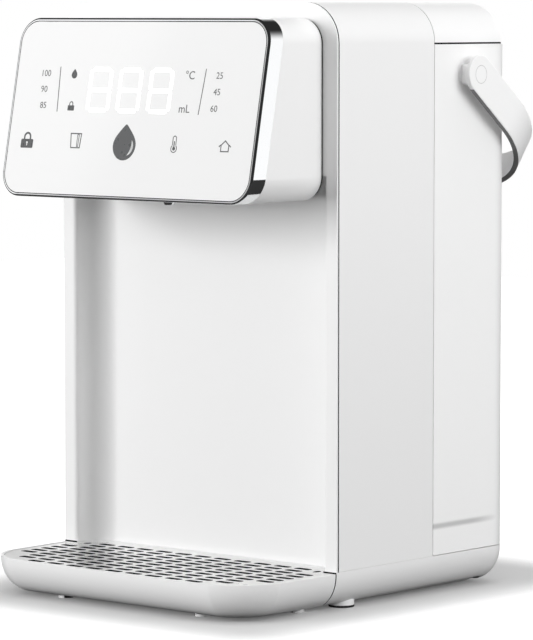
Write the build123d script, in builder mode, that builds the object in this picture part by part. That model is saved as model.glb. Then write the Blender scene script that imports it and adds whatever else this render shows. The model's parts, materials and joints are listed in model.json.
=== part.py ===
from build123d import *
import math
import os

# Countertop hot water dispenser, in millimetres, +Z up. The origin is the middle of its footprint.
# Depths are measured back from the front plane of the arched frame.

# Body
body_width = 193.8
body_height = 315.0
arch_radius = 21.0
shell_depth = 80.0
body_depth = 149.5
rear_corner_radius = 16.0
wall = 2.4
frame_thickness = 3.0
frame_lip_length = 5.0
frame_lip_thickness = 1.6
seam = 0.5

# Clearances
body_gap = 0.4
seat_gap = 0.3
fit_gap = 0.05
trim_gap = 0.1

# Base
base_bottom = 4.5
base_top = 21.2
base_side = 1.2
foot_radius = 6.8
foot_pad_height = 3.0
foot_inset = 14.1
foot_front_setback = 3.9
foot_rear_inset = 21.5
post_radius = 4.0
post_side = 50.0
post_front_setback = 15.0
post_rear_inset = 12.5
screw_radius = 1.5
screw_head_radius = 3.0
screw_head_height = 2.0

# Recess between the legs of the frame
leg_width = 8.9
recess_depth = 17.0
recess_radius = 14.0
recess_rise = 11.6
recess_edge_radius = 2.5

# Drip tray and grille
tray_reach = 71.5
tray_drop = 0.6
tray_corner_radius = 27.0
tray_rim = 2.0
tray_ledge = 1.4
tray_foot_radius = 4.0
tray_foot_side = 48.5
tray_foot_inset = 21.5
tray_rear_foot_inset = 20.2
tray_rear_foot_setback = 8.0
grille_thickness = 1.2
grille_drop = 0.4
slot_length = 10.6
slot_width = 3.0
slot_pitch_across = 14.0
slot_pitch_along = 7.75
slot_columns = 13
slot_rows = 10
slot_first_depth = 5.0
slot_margin = 2.4
finger_hole_radius = 1.8
finger_hole_inset = 14.9
finger_hole_depth = 2.0

# Head with the control panel
head_side_gap = 8.9
head_drop = 8.0
head_height = 92.6
head_top_reach = 40.5
head_bottom_reach = 58.9
head_corner_radius = 13.0
head_rear_radius = 5.0
head_rear_wall = 3.0
head_rear_rim = 9.0
bezel_depth = 10.5
bezel_lip = 1.5
glass_thickness = 2.5
guide_thickness = 5.0
guide_margin = 14.0
board_thickness = 1.6
board_corner_radius = 2.0

# Nozzle
nozzle_reach = 21.0
nozzle_radius = 8.0
nozzle_flange_radius = 12.0
nozzle_flange_height = 2.0
nozzle_tip_radius = 9.5
nozzle_tip_height = 5.5
nozzle_tip_gap = 1.4
nozzle_bore_radius = 2.4

# Hoses
hose_radius = 4.5
hose_bore_radius = 3.0
hose_bend = 8.0
hose_hole_gap = 1.4
spigot_length = 7.0
spigot_bore_radius = 1.8
outlet_rise = 22.5

# Heater
heater_side = -45.0
heater_mid_depth = 48.0
heater_radius = 16.0
heater_bottom = 92.0
heater_headroom = 83.0
heater_wall = 3.0
heater_cap_height = 8.0
clamp_thickness = 3.0
clamp_height = 10.0
clamp_inset = 18.0

# Pump
pump_side = 38.0
pump_mid_depth = 48.0
pump_radius = 19.0
pump_pad_height = 4.0
pump_housing_height = 20.0
pump_floor = 3.8
impeller_radius = 14.5
impeller_gap = 0.5
impeller_disc_height = 2.0
vane_height = 8.0
vane_count = 6
vane_thickness = 1.6
vane_length = 12.0
shaft_radius = 1.5
shaft_length = 12.0
motor_radius = 17.0
motor_height = 46.0
hose_side_gap = 20.9

# Electronics
power_board_width = 84.0
power_board_height = 118.0
power_board_inset = 6.9
power_board_headroom = 79.0
standoff_radius = 3.0
standoff_length = 5.0
standoff_margin = 6.0
relay_width = 16.0
relay_height = 20.0
relay_depth = 14.0
relay_offset = 24.0
relay_rises = (24.0, 54.0)
capacitor_radius = 7.0
capacitor_rise = 20.0
sink_width = 34.0
sink_height = 44.0
sink_depth = 18.0
sink_offset = 14.0
sink_rise = 84.0
sink_fins = 5
sink_fin_gap = 3.4
cable_radius = 2.0
cable_inset = 24.0
cable_drop = 3.0
gland_radius = 4.0
gland_side = -64.0
gland_bore_radius = 2.8
gland_length = 13.0
gland_setback = 1.0

# Water tank and its valve
tank_wall = 2.2
tank_floor_height = 37.0
lid_height = 21.0
lid_groove = 2.3
groove_depth = 0.9
valve_setback = 36.5
valve_radius = 11.0
valve_flange_radius = 16.0
valve_flange_height = 2.0
valve_skirt = 3.0
valve_bore_radius = 7.5
valve_seat_bottom = 16.0
valve_seat_height = 3.0
valve_seat_radius = 4.5
valve_ring_radius = 0.9
poppet_radius = 6.5
poppet_height = 2.0
poppet_lift = 3.0
stem_radius = 2.0
stem_show = 0.4
spring_radius = 3.6
spring_wire_radius = 0.5
spring_pitch = 3.0
cage_height = 3.0
cage_hole_count = 4
cage_hole_radius = 1.6
socket_radius = 15.0
socket_flange_radius = 19.0
socket_flange_height = 1.5
socket_floor = 2.0
socket_bottom = 8.0
socket_bore_gap = 1.4

# Lid
lid_lip_thickness = 2.0
lid_lip_drop = 10.0
lid_lip_rise = 6.0
lid_seal_height = 3.0
lid_seal_depth = 1.1
lid_seal_gap = 0.25

# Carry handle, which hangs behind the tank
pivot_setback = 39.5
pivot_drop = 17.0
handle_reach = 90.4
handle_bend = 55.8
handle_width = 20.4
handle_thickness = 2.8
handle_hang_angle = 38.0
handle_edge_radius = 0.7
boss_width = 15.6
boss_height = 13.0
boss_length = 5.0
boss_corner_radius = 3.0
peg_radius = 3.5
peg_length = 1.9

# Places worked out from the sizes above
half_width = body_width / 2
recess_half_width = half_width - leg_width
head_half_width = half_width - head_side_gap
head_top = body_height - head_drop
head_bottom = head_top - head_height
recess_top = head_bottom + recess_rise
under_radius = min(base_top - base_bottom - base_side, rear_corner_radius - seam)
tray_top = base_top - tray_drop
heater_top = body_height - heater_headroom
outlet_height = heater_top + heater_cap_height + outlet_rise
hose_side = half_width - hose_side_gap
power_board_side = half_width - power_board_inset - power_board_width / 2
power_board_top = body_height - power_board_headroom
power_board_bottom = power_board_top - power_board_height
cable_side = power_board_side - power_board_width / 2 + cable_inset
cable_height = power_board_top - cable_drop
lid_seam_height = body_height - lid_height
valve_depth = body_depth - valve_setback
pivot_depth = body_depth - pivot_setback
pivot_height = lid_seam_height - pivot_drop
boss_face = half_width + boss_length
handle_half_span = boss_face + seat_gap + handle_thickness
hang = math.radians(handle_hang_angle)
handle_rear = (
    pivot_depth
    + handle_reach * math.cos(hang)
    + handle_width / 2 * math.sin(hang)
    - handle_edge_radius * (math.cos(hang) + math.sin(hang) - 1)
)
front_y = (tray_reach - handle_rear) / 2
tank_front = shell_depth + body_gap
tank_bottom = base_top + seat_gap
tank_top = lid_seam_height - lid_groove
tank_floor_top = tank_floor_height + wall
grille_top = tray_top - grille_drop
grille_bottom = grille_top - grille_thickness - seat_gap
deck_bottom = base_top - wall
tub_floor_top = base_bottom + wall
head_start = -head_bottom_reach - bezel_depth
panel_tilt = math.atan((head_bottom_reach - head_top_reach) / (head_top - head_bottom))


def y_at(depth):
    """Gives the Y of a depth behind the frame's front plane."""
    return front_y + depth


def upright(depth):
    """Gives the upright plane at a depth, facing forwards, drawn on in X and Z."""
    return Plane.XZ.offset(-y_at(depth))


panel_plane = Plane(
    origin=(0, y_at(-(head_top_reach + head_bottom_reach) / 2), (head_top + head_bottom) / 2),
    x_dir=(1, 0, 0),
    z_dir=(0, -math.cos(panel_tilt), math.sin(panel_tilt)),
)
handle_plane = Plane(
    origin=(0, y_at(pivot_depth), pivot_height),
    x_dir=(1, 0, 0),
    z_dir=(0, math.sin(hang), math.cos(hang)),
)
pump_y = y_at(pump_mid_depth)
heater_y = y_at(heater_mid_depth)
valve_y = y_at(valve_depth)
nozzle_y = y_at(-nozzle_reach)


def arch_outline(depth, inset, bottom):
    """Draws the arched section of the body, drawn in by an inset, from a height to the top."""
    with BuildSketch(upright(depth)) as outline:
        with Locations((0, bottom)):
            Rectangle(
                body_width - 2 * inset,
                body_height - inset - bottom,
                align=(Align.CENTER, Align.MIN),
            )
        fillet(outline.vertices().group_by(Axis.Y)[-1], arch_radius - inset)
    return outline.sketch


def plan_outline(height, inset, front):
    """Draws the body's plan from a depth to its rounded back corners, drawn in by an inset."""
    with BuildSketch(Plane.XY.offset(height)) as outline:
        with Locations((0, y_at(front))):
            Rectangle(
                body_width - 2 * inset,
                body_depth - inset - front,
                align=(Align.CENTER, Align.MIN),
            )
        fillet(outline.vertices().group_by(Axis.Y)[-1], rear_corner_radius - inset)
    return outline.sketch


def recess_outline(height, grow, start):
    """Draws the recess's plan from a depth to its rounded back, grown by an amount."""
    with BuildSketch(Plane.XY.offset(height)) as outline:
        with Locations((0, y_at(start))):
            Rectangle(
                2 * (recess_half_width + grow),
                recess_depth + grow - start,
                align=(Align.CENTER, Align.MIN),
            )
        fillet(outline.vertices().group_by(Axis.Y)[-1], recess_radius + grow)
    return outline.sketch


def tray_front_outline(height, inset):
    """Draws the wide part of the tray, which lies in front of the frame."""
    with BuildSketch(Plane.XY.offset(height)) as outline:
        with Locations((0, y_at(-body_gap - inset))):
            Rectangle(
                body_width - 2 * inset,
                tray_reach - body_gap - 2 * inset,
                align=(Align.CENTER, Align.MAX),
            )
        fillet(outline.vertices().group_by(Axis.Y)[0], tray_corner_radius - inset)
    return outline.sketch


def head_outline(depth, inset):
    """Draws the head's section at a depth, drawn in by an inset."""
    with BuildSketch(upright(depth)) as outline:
        with Locations((0, (head_top + head_bottom) / 2)):
            RectangleRounded(
                2 * (head_half_width - inset),
                head_top - head_bottom - 2 * inset,
                max(head_corner_radius - inset, board_corner_radius),
            )
    return outline.sketch


def head_layer(inset, front, back):
    """Fills the head's section between two distances behind the sloping panel face."""
    extrude(head_outline(head_start, inset), amount=head_start)
    split(bisect_by=panel_plane.offset(-front), keep=Keep.BOTTOM)
    split(bisect_by=panel_plane.offset(-back), keep=Keep.TOP)


def turned(points, x, y, mode=Mode.ADD):
    """Turns a half-section of radius and height points about the upright axis at x and y."""
    with BuildSketch(Plane.XZ.offset(-y)) as section:
        with BuildLine():
            Polyline([(x + radius, height) for radius, height in points], close=True)
        make_face()
    revolve(section.sketch, axis=Axis((x, y, 0), (0, 0, 1)), mode=mode)


def upright_rod(x, y, radius, bottom, top, mode=Mode.ADD):
    """Adds or cuts an upright round bar between two heights."""
    with BuildSketch(Plane.XY.offset(bottom)) as section:
        with Locations((x, y)):
            Circle(radius)
    extrude(section.sketch, amount=top - bottom, mode=mode)


def spigot(x, y, z, direction, length):
    """Adds a short pipe stub from a point, in a direction along X."""
    with BuildSketch(Plane(origin=(x, y, z), z_dir=(direction, 0, 0))) as section:
        Circle(hose_bore_radius - fit_gap)
    extrude(section.sketch, amount=length)


def spigot_bore(x, y, z, direction, length):
    """Cuts the bore of a pipe stub."""
    with BuildSketch(Plane(origin=(x, y, z), z_dir=(direction, 0, 0))) as section:
        Circle(spigot_bore_radius)
    extrude(section.sketch, amount=length, mode=Mode.SUBTRACT)


def tube(points, bend, outer, bore):
    """Sweeps a pipe along straight runs joined by round bends."""
    with BuildLine() as route:
        FilletPolyline(*points, radius=bend)
    with BuildSketch(Plane(origin=route.line @ 0, z_dir=route.line % 0)) as section:
        Circle(outer)
        Circle(bore, mode=Mode.SUBTRACT)
    sweep(section.sketch, path=route.line)


def both_sides(*places):
    """Mirrors side and depth places to the other side."""
    return [(side * x, y_at(depth)) for x, depth in places for side in (-1, 1)]


foot_places = both_sides(
    (half_width - foot_inset, recess_depth + foot_front_setback),
    (half_width - foot_inset, body_depth - foot_rear_inset),
)
post_places = both_sides(
    (post_side, recess_depth + post_front_setback),
    (post_side, body_depth - post_rear_inset),
)
tray_feet = both_sides(
    (tray_foot_side, tray_foot_inset - tray_reach),
    (half_width - tray_rear_foot_inset, -tray_rear_foot_setback),
)

# Arched front frame: a face plate with the concave recess behind its legs
with BuildPart() as front_frame:
    extrude(arch_outline(0, 0, base_top), amount=-frame_thickness)
    extrude(arch_outline(frame_thickness, wall + trim_gap, base_top), amount=-frame_lip_length)
    lip_opening = arch_outline(frame_thickness, wall + trim_gap + frame_lip_thickness, base_top)
    extrude(lip_opening, amount=-frame_lip_length, mode=Mode.SUBTRACT)
    extrude(recess_outline(base_top, wall, 0), amount=recess_top + wall - base_top)
    extrude(recess_outline(base_top, 0, -frame_thickness), amount=recess_top - base_top, mode=Mode.SUBTRACT)
    leg_edges = front_frame.edges().filter_by(Axis.Z).group_by(Axis.Y)[0]
    fillet(leg_edges.sort_by(lambda edge: abs(edge.center().X))[0:2], recess_edge_radius)
    with BuildSketch(upright(0)):
        with Locations((0, outlet_height), (cable_side, cable_height)):
            Circle(hose_radius + body_gap)
    extrude(amount=-frame_thickness, mode=Mode.SUBTRACT)
front_frame.part.label = "front_frame"

# Side shell: both sides and the top in one arch
shell_start = frame_thickness + seam
with BuildPart() as side_shell:
    extrude(arch_outline(shell_start, 0, base_top), amount=shell_start - shell_depth)
    hollow = arch_outline(shell_start, wall, base_top - wall)
    extrude(hollow, amount=shell_start - shell_depth, mode=Mode.SUBTRACT)
side_shell.part.label = "side_shell"

# Rear cover: closes the shell in front of the tank and carries the power board
cover_front = shell_depth - wall - seat_gap
board_back = cover_front - standoff_length
board_corners = [
    (power_board_side + side * (power_board_width / 2 - standoff_margin),
     power_board_bottom + power_board_height / 2 + end * (power_board_height / 2 - standoff_margin))
    for side in (-1, 1)
    for end in (-1, 1)
]
with BuildPart() as rear_cover:
    extrude(arch_outline(cover_front, wall + trim_gap, base_top), amount=-wall)
    with BuildSketch(upright(board_back)):
        with Locations(*board_corners):
            Circle(standoff_radius)
    extrude(amount=-standoff_length)
rear_cover.part.label = "rear_cover"


def under_rounded(block, radius):
    """Rounds the bottom edges of a block, but not those of its flat joint face."""
    bottom = block.faces().sort_by(Axis.Z)[0].edges()
    joint = bottom.filter_by(Axis.X).sort_by(lambda edge: abs(edge.center().Y - y_at(0)))[0]
    fillet([edge for edge in bottom if edge.center() != joint.center()], radius)


# Base tub: a dish with a rounded underside and a pocket for the tray's tongue
pipe_height = (tub_floor_top + deck_bottom) / 2
tub_height = base_top - base_bottom
with BuildPart() as tub_hollow:
    extrude(plan_outline(tub_floor_top, wall, wall), amount=base_top - tub_floor_top)
    under_rounded(tub_hollow, under_radius - wall)
    extrude(recess_outline(base_bottom, wall, 0), amount=tub_height, mode=Mode.SUBTRACT)
with BuildPart() as base_tub:
    extrude(plan_outline(base_bottom, 0, 0), amount=tub_height)
    under_rounded(base_tub, under_radius)
    add(tub_hollow.part, mode=Mode.SUBTRACT)
    for x, y in foot_places:
        upright_rod(x, y, foot_radius, foot_pad_height, tub_floor_top)
    for x, y in post_places:
        upright_rod(x, y, post_radius, base_bottom, deck_bottom)
        upright_rod(x, y, screw_radius, base_bottom, deck_bottom, Mode.SUBTRACT)
        upright_rod(x, y, screw_head_radius, base_bottom, base_bottom + screw_head_height, Mode.SUBTRACT)
    notch = recess_outline(base_bottom - seat_gap, 0, -wall)
    extrude(notch, amount=tub_height + seat_gap, mode=Mode.SUBTRACT)
    with BuildSketch(upright(body_depth)):
        with Locations((gland_side, pipe_height)):
            Circle(gland_radius)
    extrude(amount=gland_length, mode=Mode.SUBTRACT)
base_tub.part.label = "base_tub"

# Base deck: the chassis plate inside the tub
with BuildPart() as base_deck:
    extrude(plan_outline(deck_bottom, wall + trim_gap, wall + trim_gap), amount=wall)
    extrude(recess_outline(deck_bottom, wall + trim_gap, 0), amount=wall, mode=Mode.SUBTRACT)
    upright_rod(0, valve_y, socket_radius, deck_bottom, base_top, Mode.SUBTRACT)
    upright_rod(hose_side, pump_y, hose_radius + hose_hole_gap, deck_bottom, base_top, Mode.SUBTRACT)
base_deck.part.label = "base_deck"

# Rubber feet and the screws that hold the deck
with BuildPart() as rubber_feet:
    for x, y in foot_places:
        upright_rod(x, y, foot_radius, 0, foot_pad_height)
rubber_feet.part.label = "rubber_feet"

with BuildPart() as base_screws:
    for x, y in post_places:
        upright_rod(x, y, screw_head_radius, base_bottom, base_bottom + screw_head_height)
        upright_rod(x, y, screw_radius, base_bottom + screw_head_height, deck_bottom)
base_screws.part.label = "base_screws"

# Cord gland in the back of the tub
with BuildPart() as cord_gland:
    with BuildSketch(upright(body_depth - gland_setback)):
        with Locations((gland_side, pipe_height)):
            Circle(gland_radius)
            Circle(gland_bore_radius, mode=Mode.SUBTRACT)
    extrude(amount=gland_length - gland_setback)
cord_gland.part.label = "cord_gland"

# Head housing: a tube with a rounded back that stands on the frame's face
with BuildPart() as head_housing:
    extrude(head_outline(head_start, 0), amount=head_start)
    split(bisect_by=panel_plane.offset(-bezel_depth), keep=Keep.BOTTOM)
    fillet(head_housing.faces().sort_by(Axis.Y)[-1].edges(), head_rear_radius)
    extrude(head_outline(head_start, wall), amount=head_start + head_rear_wall, mode=Mode.SUBTRACT)
    rear_opening = head_outline(-head_rear_wall, head_rear_rim)
    extrude(rear_opening, amount=-head_rear_wall, mode=Mode.SUBTRACT)
    upright_rod(0, nozzle_y, nozzle_radius, head_bottom, head_bottom + wall, Mode.SUBTRACT)
head_housing.part.label = "head_housing"

# Bezel ring around the glass panel
with BuildPart() as bezel_ring:
    head_layer(0, 0, bezel_depth)
    extrude(head_outline(head_start, bezel_lip), amount=head_start, mode=Mode.SUBTRACT)
bezel_ring.part.label = "bezel_ring"

with BuildPart() as touch_panel:
    head_layer(bezel_lip + trim_gap, 0, glass_thickness)
touch_panel.part.label = "touch_panel"

with BuildPart() as light_guide:
    head_layer(guide_margin, glass_thickness, glass_thickness + guide_thickness)
light_guide.part.label = "light_guide"

board_front = glass_thickness + guide_thickness
with BuildPart() as display_board:
    head_layer(guide_margin / 2, board_front, board_front + board_thickness)
display_board.part.label = "display_board"

# Nozzle in the head's floor, with its metal tip
nozzle_floor = head_bottom + wall
nozzle_top = nozzle_floor + nozzle_flange_height + spigot_length
tip_top = head_bottom - nozzle_tip_gap
with BuildPart() as nozzle:
    turned(
        (
            (nozzle_bore_radius, tip_top),
            (nozzle_radius - trim_gap, tip_top),
            (nozzle_radius - trim_gap, nozzle_floor),
            (nozzle_flange_radius, nozzle_floor),
            (nozzle_flange_radius, nozzle_floor + nozzle_flange_height),
            (hose_bore_radius - fit_gap, nozzle_floor + nozzle_flange_height),
            (hose_bore_radius - fit_gap, nozzle_top),
            (nozzle_bore_radius, nozzle_top),
        ),
        0,
        nozzle_y,
    )
nozzle.part.label = "nozzle"

with BuildPart() as nozzle_tip:
    turned(
        (
            (nozzle_bore_radius, tip_top),
            (nozzle_tip_radius, tip_top),
            (nozzle_tip_radius, tip_top - nozzle_tip_height / 2),
            (nozzle_radius - trim_gap, tip_top - nozzle_tip_height),
            (nozzle_bore_radius + wall / 2, tip_top - nozzle_tip_height),
            (nozzle_bore_radius, tip_top - nozzle_tip_height / 2),
        ),
        0,
        nozzle_y,
    )
nozzle_tip.part.label = "nozzle_tip"

# Dock socket in the deck, with the pin that opens the tank's valve
pin_top = valve_seat_bottom - body_gap
with BuildPart() as dock_socket:
    turned(
        (
            (0, socket_bottom),
            (socket_radius - trim_gap, socket_bottom),
            (socket_radius - trim_gap, base_top),
            (socket_flange_radius, base_top),
            (socket_flange_radius, base_top + socket_flange_height),
            (valve_radius + socket_bore_gap, base_top + socket_flange_height),
            (valve_radius + socket_bore_gap, socket_bottom + socket_floor),
            (stem_radius, socket_bottom + socket_floor),
            (stem_radius, pin_top),
            (0, pin_top),
        ),
        0,
        valve_y,
    )
    spigot(valve_radius + socket_bore_gap + trim_gap, valve_y, pipe_height, 1, spigot_length + wall)
    spigot_bore(valve_radius, valve_y, pipe_height, 1, 2 * spigot_length)
dock_socket.part.label = "dock_socket"

# Pump: rubber pad, housing with two stubs, impeller and motor
housing_bottom = base_top + pump_pad_height
housing_top = housing_bottom + pump_housing_height
chamber_floor = housing_bottom + pump_floor
pump_stub_height = housing_bottom + pump_housing_height / 2
chamber_radius = impeller_radius + impeller_gap
with BuildPart() as pump_pad:
    upright_rod(pump_side, pump_y, pump_radius, base_top, housing_bottom)
pump_pad.part.label = "pump_pad"

with BuildPart() as pump_housing:
    upright_rod(pump_side, pump_y, pump_radius, housing_bottom, housing_top)
    spigot(pump_side + chamber_radius + trim_gap, pump_y, pump_stub_height, 1, spigot_length + wall)
    spigot(pump_side - chamber_radius - trim_gap, pump_y, pump_stub_height, -1, spigot_length + wall)
    upright_rod(pump_side, pump_y, chamber_radius, chamber_floor, housing_top, Mode.SUBTRACT)
    spigot_bore(pump_side, pump_y, pump_stub_height, 1, pump_radius + 2 * spigot_length)
    spigot_bore(pump_side, pump_y, pump_stub_height, -1, pump_radius + 2 * spigot_length)
pump_housing.part.label = "pump_housing"

disc_bottom = chamber_floor + impeller_gap
disc_top = disc_bottom + impeller_disc_height
with BuildPart() as pump_impeller:
    upright_rod(pump_side, pump_y, impeller_radius, disc_bottom, disc_top)
    with BuildSketch(Plane.XY.offset(disc_top)):
        with Locations((pump_side, pump_y)):
            with PolarLocations(impeller_radius - impeller_gap - vane_length / 2, vane_count):
                Rectangle(vane_length, vane_thickness)
            Circle(2 * shaft_radius)
    extrude(amount=vane_height)
    upright_rod(pump_side, pump_y, shaft_radius, disc_top, housing_top + shaft_length)
pump_impeller.part.label = "pump_impeller"

with BuildPart() as pump_motor:
    upright_rod(pump_side, pump_y, motor_radius, housing_top, housing_top + motor_height)
    fillet(pump_motor.faces().sort_by(Axis.Z)[-1].edges(), wall)
    shaft_hole = housing_top + shaft_length + impeller_gap
    upright_rod(pump_side, pump_y, shaft_radius + fit_gap, housing_top, shaft_hole, Mode.SUBTRACT)
pump_motor.part.label = "pump_motor"

# Heater: a tube with an end cap and stub at each end, held by two clamps on the rear cover
with BuildPart() as heater_tube:
    upright_rod(heater_side, heater_y, heater_radius, heater_bottom, heater_top)
    bore = heater_radius - heater_wall
    upright_rod(heater_side, heater_y, bore, heater_bottom, heater_top, Mode.SUBTRACT)
heater_tube.part.label = "heater_tube"

with BuildPart() as heater_caps:
    for start, outwards in ((heater_bottom, -1), (heater_top, 1)):
        cap_end = start + outwards * heater_cap_height
        stub_end = cap_end + outwards * spigot_length
        turned(
            (
                (spigot_bore_radius, start),
                (heater_radius + clamp_thickness / 2, start),
                (heater_radius + clamp_thickness / 2, cap_end),
                (hose_bore_radius - fit_gap, cap_end),
                (hose_bore_radius - fit_gap, stub_end),
                (spigot_bore_radius, stub_end),
            ),
            heater_side,
            heater_y,
        )
heater_caps.part.label = "heater_caps"

with BuildPart() as heater_clamps:
    clamp_reach = cover_front - heater_mid_depth
    for height in (heater_bottom + clamp_inset, heater_top - clamp_inset - clamp_height):
        with BuildSketch(Plane.XY.offset(height)):
            with Locations((heater_side, heater_y)):
                Circle(heater_radius + clamp_thickness)
                Rectangle(heater_radius, clamp_reach, align=(Align.CENTER, Align.MIN))
                Circle(heater_radius, mode=Mode.SUBTRACT)
        extrude(amount=clamp_height)
heater_clamps.part.label = "heater_clamps"

# Hoses: tank socket to pump, pump to heater, heater to nozzle
with BuildPart() as inlet_hose:
    tube(
        (
            (socket_radius, valve_y, pipe_height),
            (hose_side, valve_y, pipe_height),
            (hose_side, pump_y, pipe_height),
            (hose_side, pump_y, pump_stub_height),
            (pump_side + pump_radius, pump_y, pump_stub_height),
        ),
        hose_bend,
        hose_radius,
        hose_bore_radius,
    )
inlet_hose.part.label = "inlet_hose"

with BuildPart() as heater_hose:
    tube(
        (
            (pump_side - pump_radius, pump_y, pump_stub_height),
            (heater_side, heater_y, pump_stub_height),
            (heater_side, heater_y, heater_bottom - heater_cap_height),
        ),
        hose_bend,
        hose_radius,
        hose_bore_radius,
    )
heater_hose.part.label = "heater_hose"

with BuildPart() as outlet_hose:
    tube(
        (
            (heater_side, heater_y, heater_top + heater_cap_height),
            (heater_side, heater_y, outlet_height),
            (0, heater_y, outlet_height),
            (0, nozzle_y, outlet_height),
            (0, nozzle_y, nozzle_floor + nozzle_flange_height),
        ),
        hose_bend,
        hose_radius,
        hose_bore_radius,
    )
outlet_hose.part.label = "outlet_hose"

# Power board on the rear cover, its taller parts, and the cable to the display
board_face = board_back - board_thickness
with BuildPart() as power_board:
    with BuildSketch(upright(board_back)):
        with Locations((power_board_side, power_board_bottom)):
            Rectangle(power_board_width, power_board_height, align=(Align.CENTER, Align.MIN))
    extrude(amount=board_thickness)
power_board.part.label = "power_board"

with BuildPart() as board_parts:
    with BuildSketch(upright(board_face)):
        for relay_rise in relay_rises:
            with Locations((power_board_side - relay_offset, power_board_bottom + relay_rise)):
                Rectangle(relay_width, relay_height)
        with Locations((power_board_side + relay_offset, power_board_bottom + capacitor_rise)):
            Circle(capacitor_radius)
    extrude(amount=relay_depth)
    with BuildSketch(upright(board_face)):
        with Locations((power_board_side + sink_offset, power_board_bottom + sink_rise)):
            Rectangle(sink_width, sink_height)
            with GridLocations(sink_width / sink_fins, 0, sink_fins, 1):
                Rectangle(sink_fin_gap, sink_height + trim_gap, mode=Mode.SUBTRACT)
    extrude(amount=sink_depth)
    with BuildSketch(upright(board_face)):
        with Locations((power_board_side + sink_offset, power_board_bottom + sink_rise)):
            Rectangle(sink_width, sink_height)
    extrude(amount=wall)
board_parts.part.label = "board_parts"

with BuildPart() as panel_cable:
    cable_end = Plane(origin=(cable_side, y_at(board_face), cable_height), z_dir=(0, -1, 0))
    with BuildSketch(cable_end):
        Circle(cable_radius)
    extrude(amount=board_face + head_bottom_reach)
    split(bisect_by=panel_plane.offset(-board_front - board_thickness), keep=Keep.BOTTOM)
panel_cable.part.label = "panel_cable"


def side_face(side, reach):
    """Gives the plane at the handle's pivot, facing outwards on one side."""
    pivot = (side * reach, y_at(pivot_depth), pivot_height)
    return Plane(origin=pivot, x_dir=(0, 1, 0), z_dir=(side, 0, 0))


def side_bosses(start, length):
    """Adds the handle's bosses on both sides of the tank."""
    for side in (-1, 1):
        with BuildSketch(side_face(side, start)) as section:
            RectangleRounded(boss_width, boss_height, boss_corner_radius)
        extrude(section.sketch, amount=length)


def side_pegs(start, length, radius, mode=Mode.ADD):
    """Adds or cuts the round pegs that the handle turns on."""
    for side in (-1, 1):
        with BuildSketch(side_face(side, start)) as section:
            Circle(radius)
        extrude(section.sketch, amount=length, mode=mode)


# Water tank: an open translucent box on a skirt, with the handle's bosses
with BuildPart() as tank_shell:
    extrude(plan_outline(tank_bottom, 0, tank_front), amount=tank_top - tank_bottom)
    water_space = plan_outline(tank_floor_top, tank_wall, tank_front + tank_wall)
    extrude(water_space, amount=tank_top - tank_floor_top, mode=Mode.SUBTRACT)
    skirt_space = plan_outline(tank_bottom, tank_wall, tank_front + tank_wall)
    extrude(skirt_space, amount=tank_floor_height - tank_bottom, mode=Mode.SUBTRACT)
    upright_rod(0, valve_y, valve_radius + trim_gap, tank_floor_height, tank_floor_top, Mode.SUBTRACT)
    side_bosses(half_width - tank_wall / 2, boss_face - half_width + tank_wall / 2)
    side_pegs(boss_face, peg_length, peg_radius)
tank_shell.part.label = "tank_shell"

# Valve in the tank's floor
flange_top = tank_floor_top + valve_flange_height
seat_top = valve_seat_bottom + valve_seat_height
ring_height = (base_top + valve_seat_bottom) / 2
with BuildPart() as valve_housing:
    turned(
        (
            (valve_bore_radius, valve_seat_bottom - valve_skirt),
            (valve_radius, valve_seat_bottom - valve_skirt),
            (valve_radius, ring_height - valve_ring_radius),
            (valve_radius - valve_ring_radius, ring_height - valve_ring_radius),
            (valve_radius - valve_ring_radius, ring_height + valve_ring_radius),
            (valve_radius, ring_height + valve_ring_radius),
            (valve_radius, tank_floor_top),
            (valve_flange_radius, tank_floor_top),
            (valve_flange_radius, flange_top),
            (valve_bore_radius, flange_top),
            (valve_bore_radius, seat_top),
            (valve_seat_radius, seat_top),
            (valve_seat_radius, valve_seat_bottom),
            (valve_bore_radius, valve_seat_bottom),
        ),
        0,
        valve_y,
    )
valve_housing.part.label = "valve_housing"

with BuildPart() as valve_ring:
    with BuildSketch(Plane.XZ.offset(-valve_y)):
        with Locations((valve_radius, ring_height)):
            Circle(valve_ring_radius)
    revolve(axis=Axis((0, valve_y, 0), (0, 0, 1)))
valve_ring.part.label = "valve_ring"

poppet_bottom = seat_top + poppet_lift
poppet_top = poppet_bottom + poppet_height
stem_top = flange_top + stem_show
with BuildPart() as valve_poppet:
    upright_rod(0, valve_y, stem_radius, pin_top + seat_gap, stem_top)
    upright_rod(0, valve_y, poppet_radius, poppet_bottom, poppet_top)
valve_poppet.part.label = "valve_poppet"

cage_bottom = flange_top - cage_height
with BuildPart() as valve_cage:
    with BuildSketch(Plane.XY.offset(cage_bottom)):
        with Locations((0, valve_y)):
            Circle(valve_bore_radius - trim_gap)
            Circle(stem_radius + seat_gap, mode=Mode.SUBTRACT)
            with PolarLocations((valve_bore_radius + stem_radius) / 2, cage_hole_count):
                Circle(cage_hole_radius, mode=Mode.SUBTRACT)
    extrude(amount=cage_height)
valve_cage.part.label = "valve_cage"

with BuildPart() as valve_spring:
    spring_bottom = poppet_top + spring_wire_radius + seat_gap
    spring_height = cage_bottom - spring_bottom - spring_wire_radius - seat_gap
    with BuildLine(Plane.XY.offset(spring_bottom)) as spring_line:
        Helix(spring_pitch, spring_height, spring_radius, center=(0, valve_y, 0))
    with BuildSketch(Plane(origin=spring_line.line @ 0, z_dir=spring_line.line % 0)):
        Circle(spring_wire_radius)
    sweep(path=spring_line.line, is_frenet=True)
valve_spring.part.label = "valve_spring"

# Lid: carries the arch on over the tank, with a lip and a seal inside the tank's mouth


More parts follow.
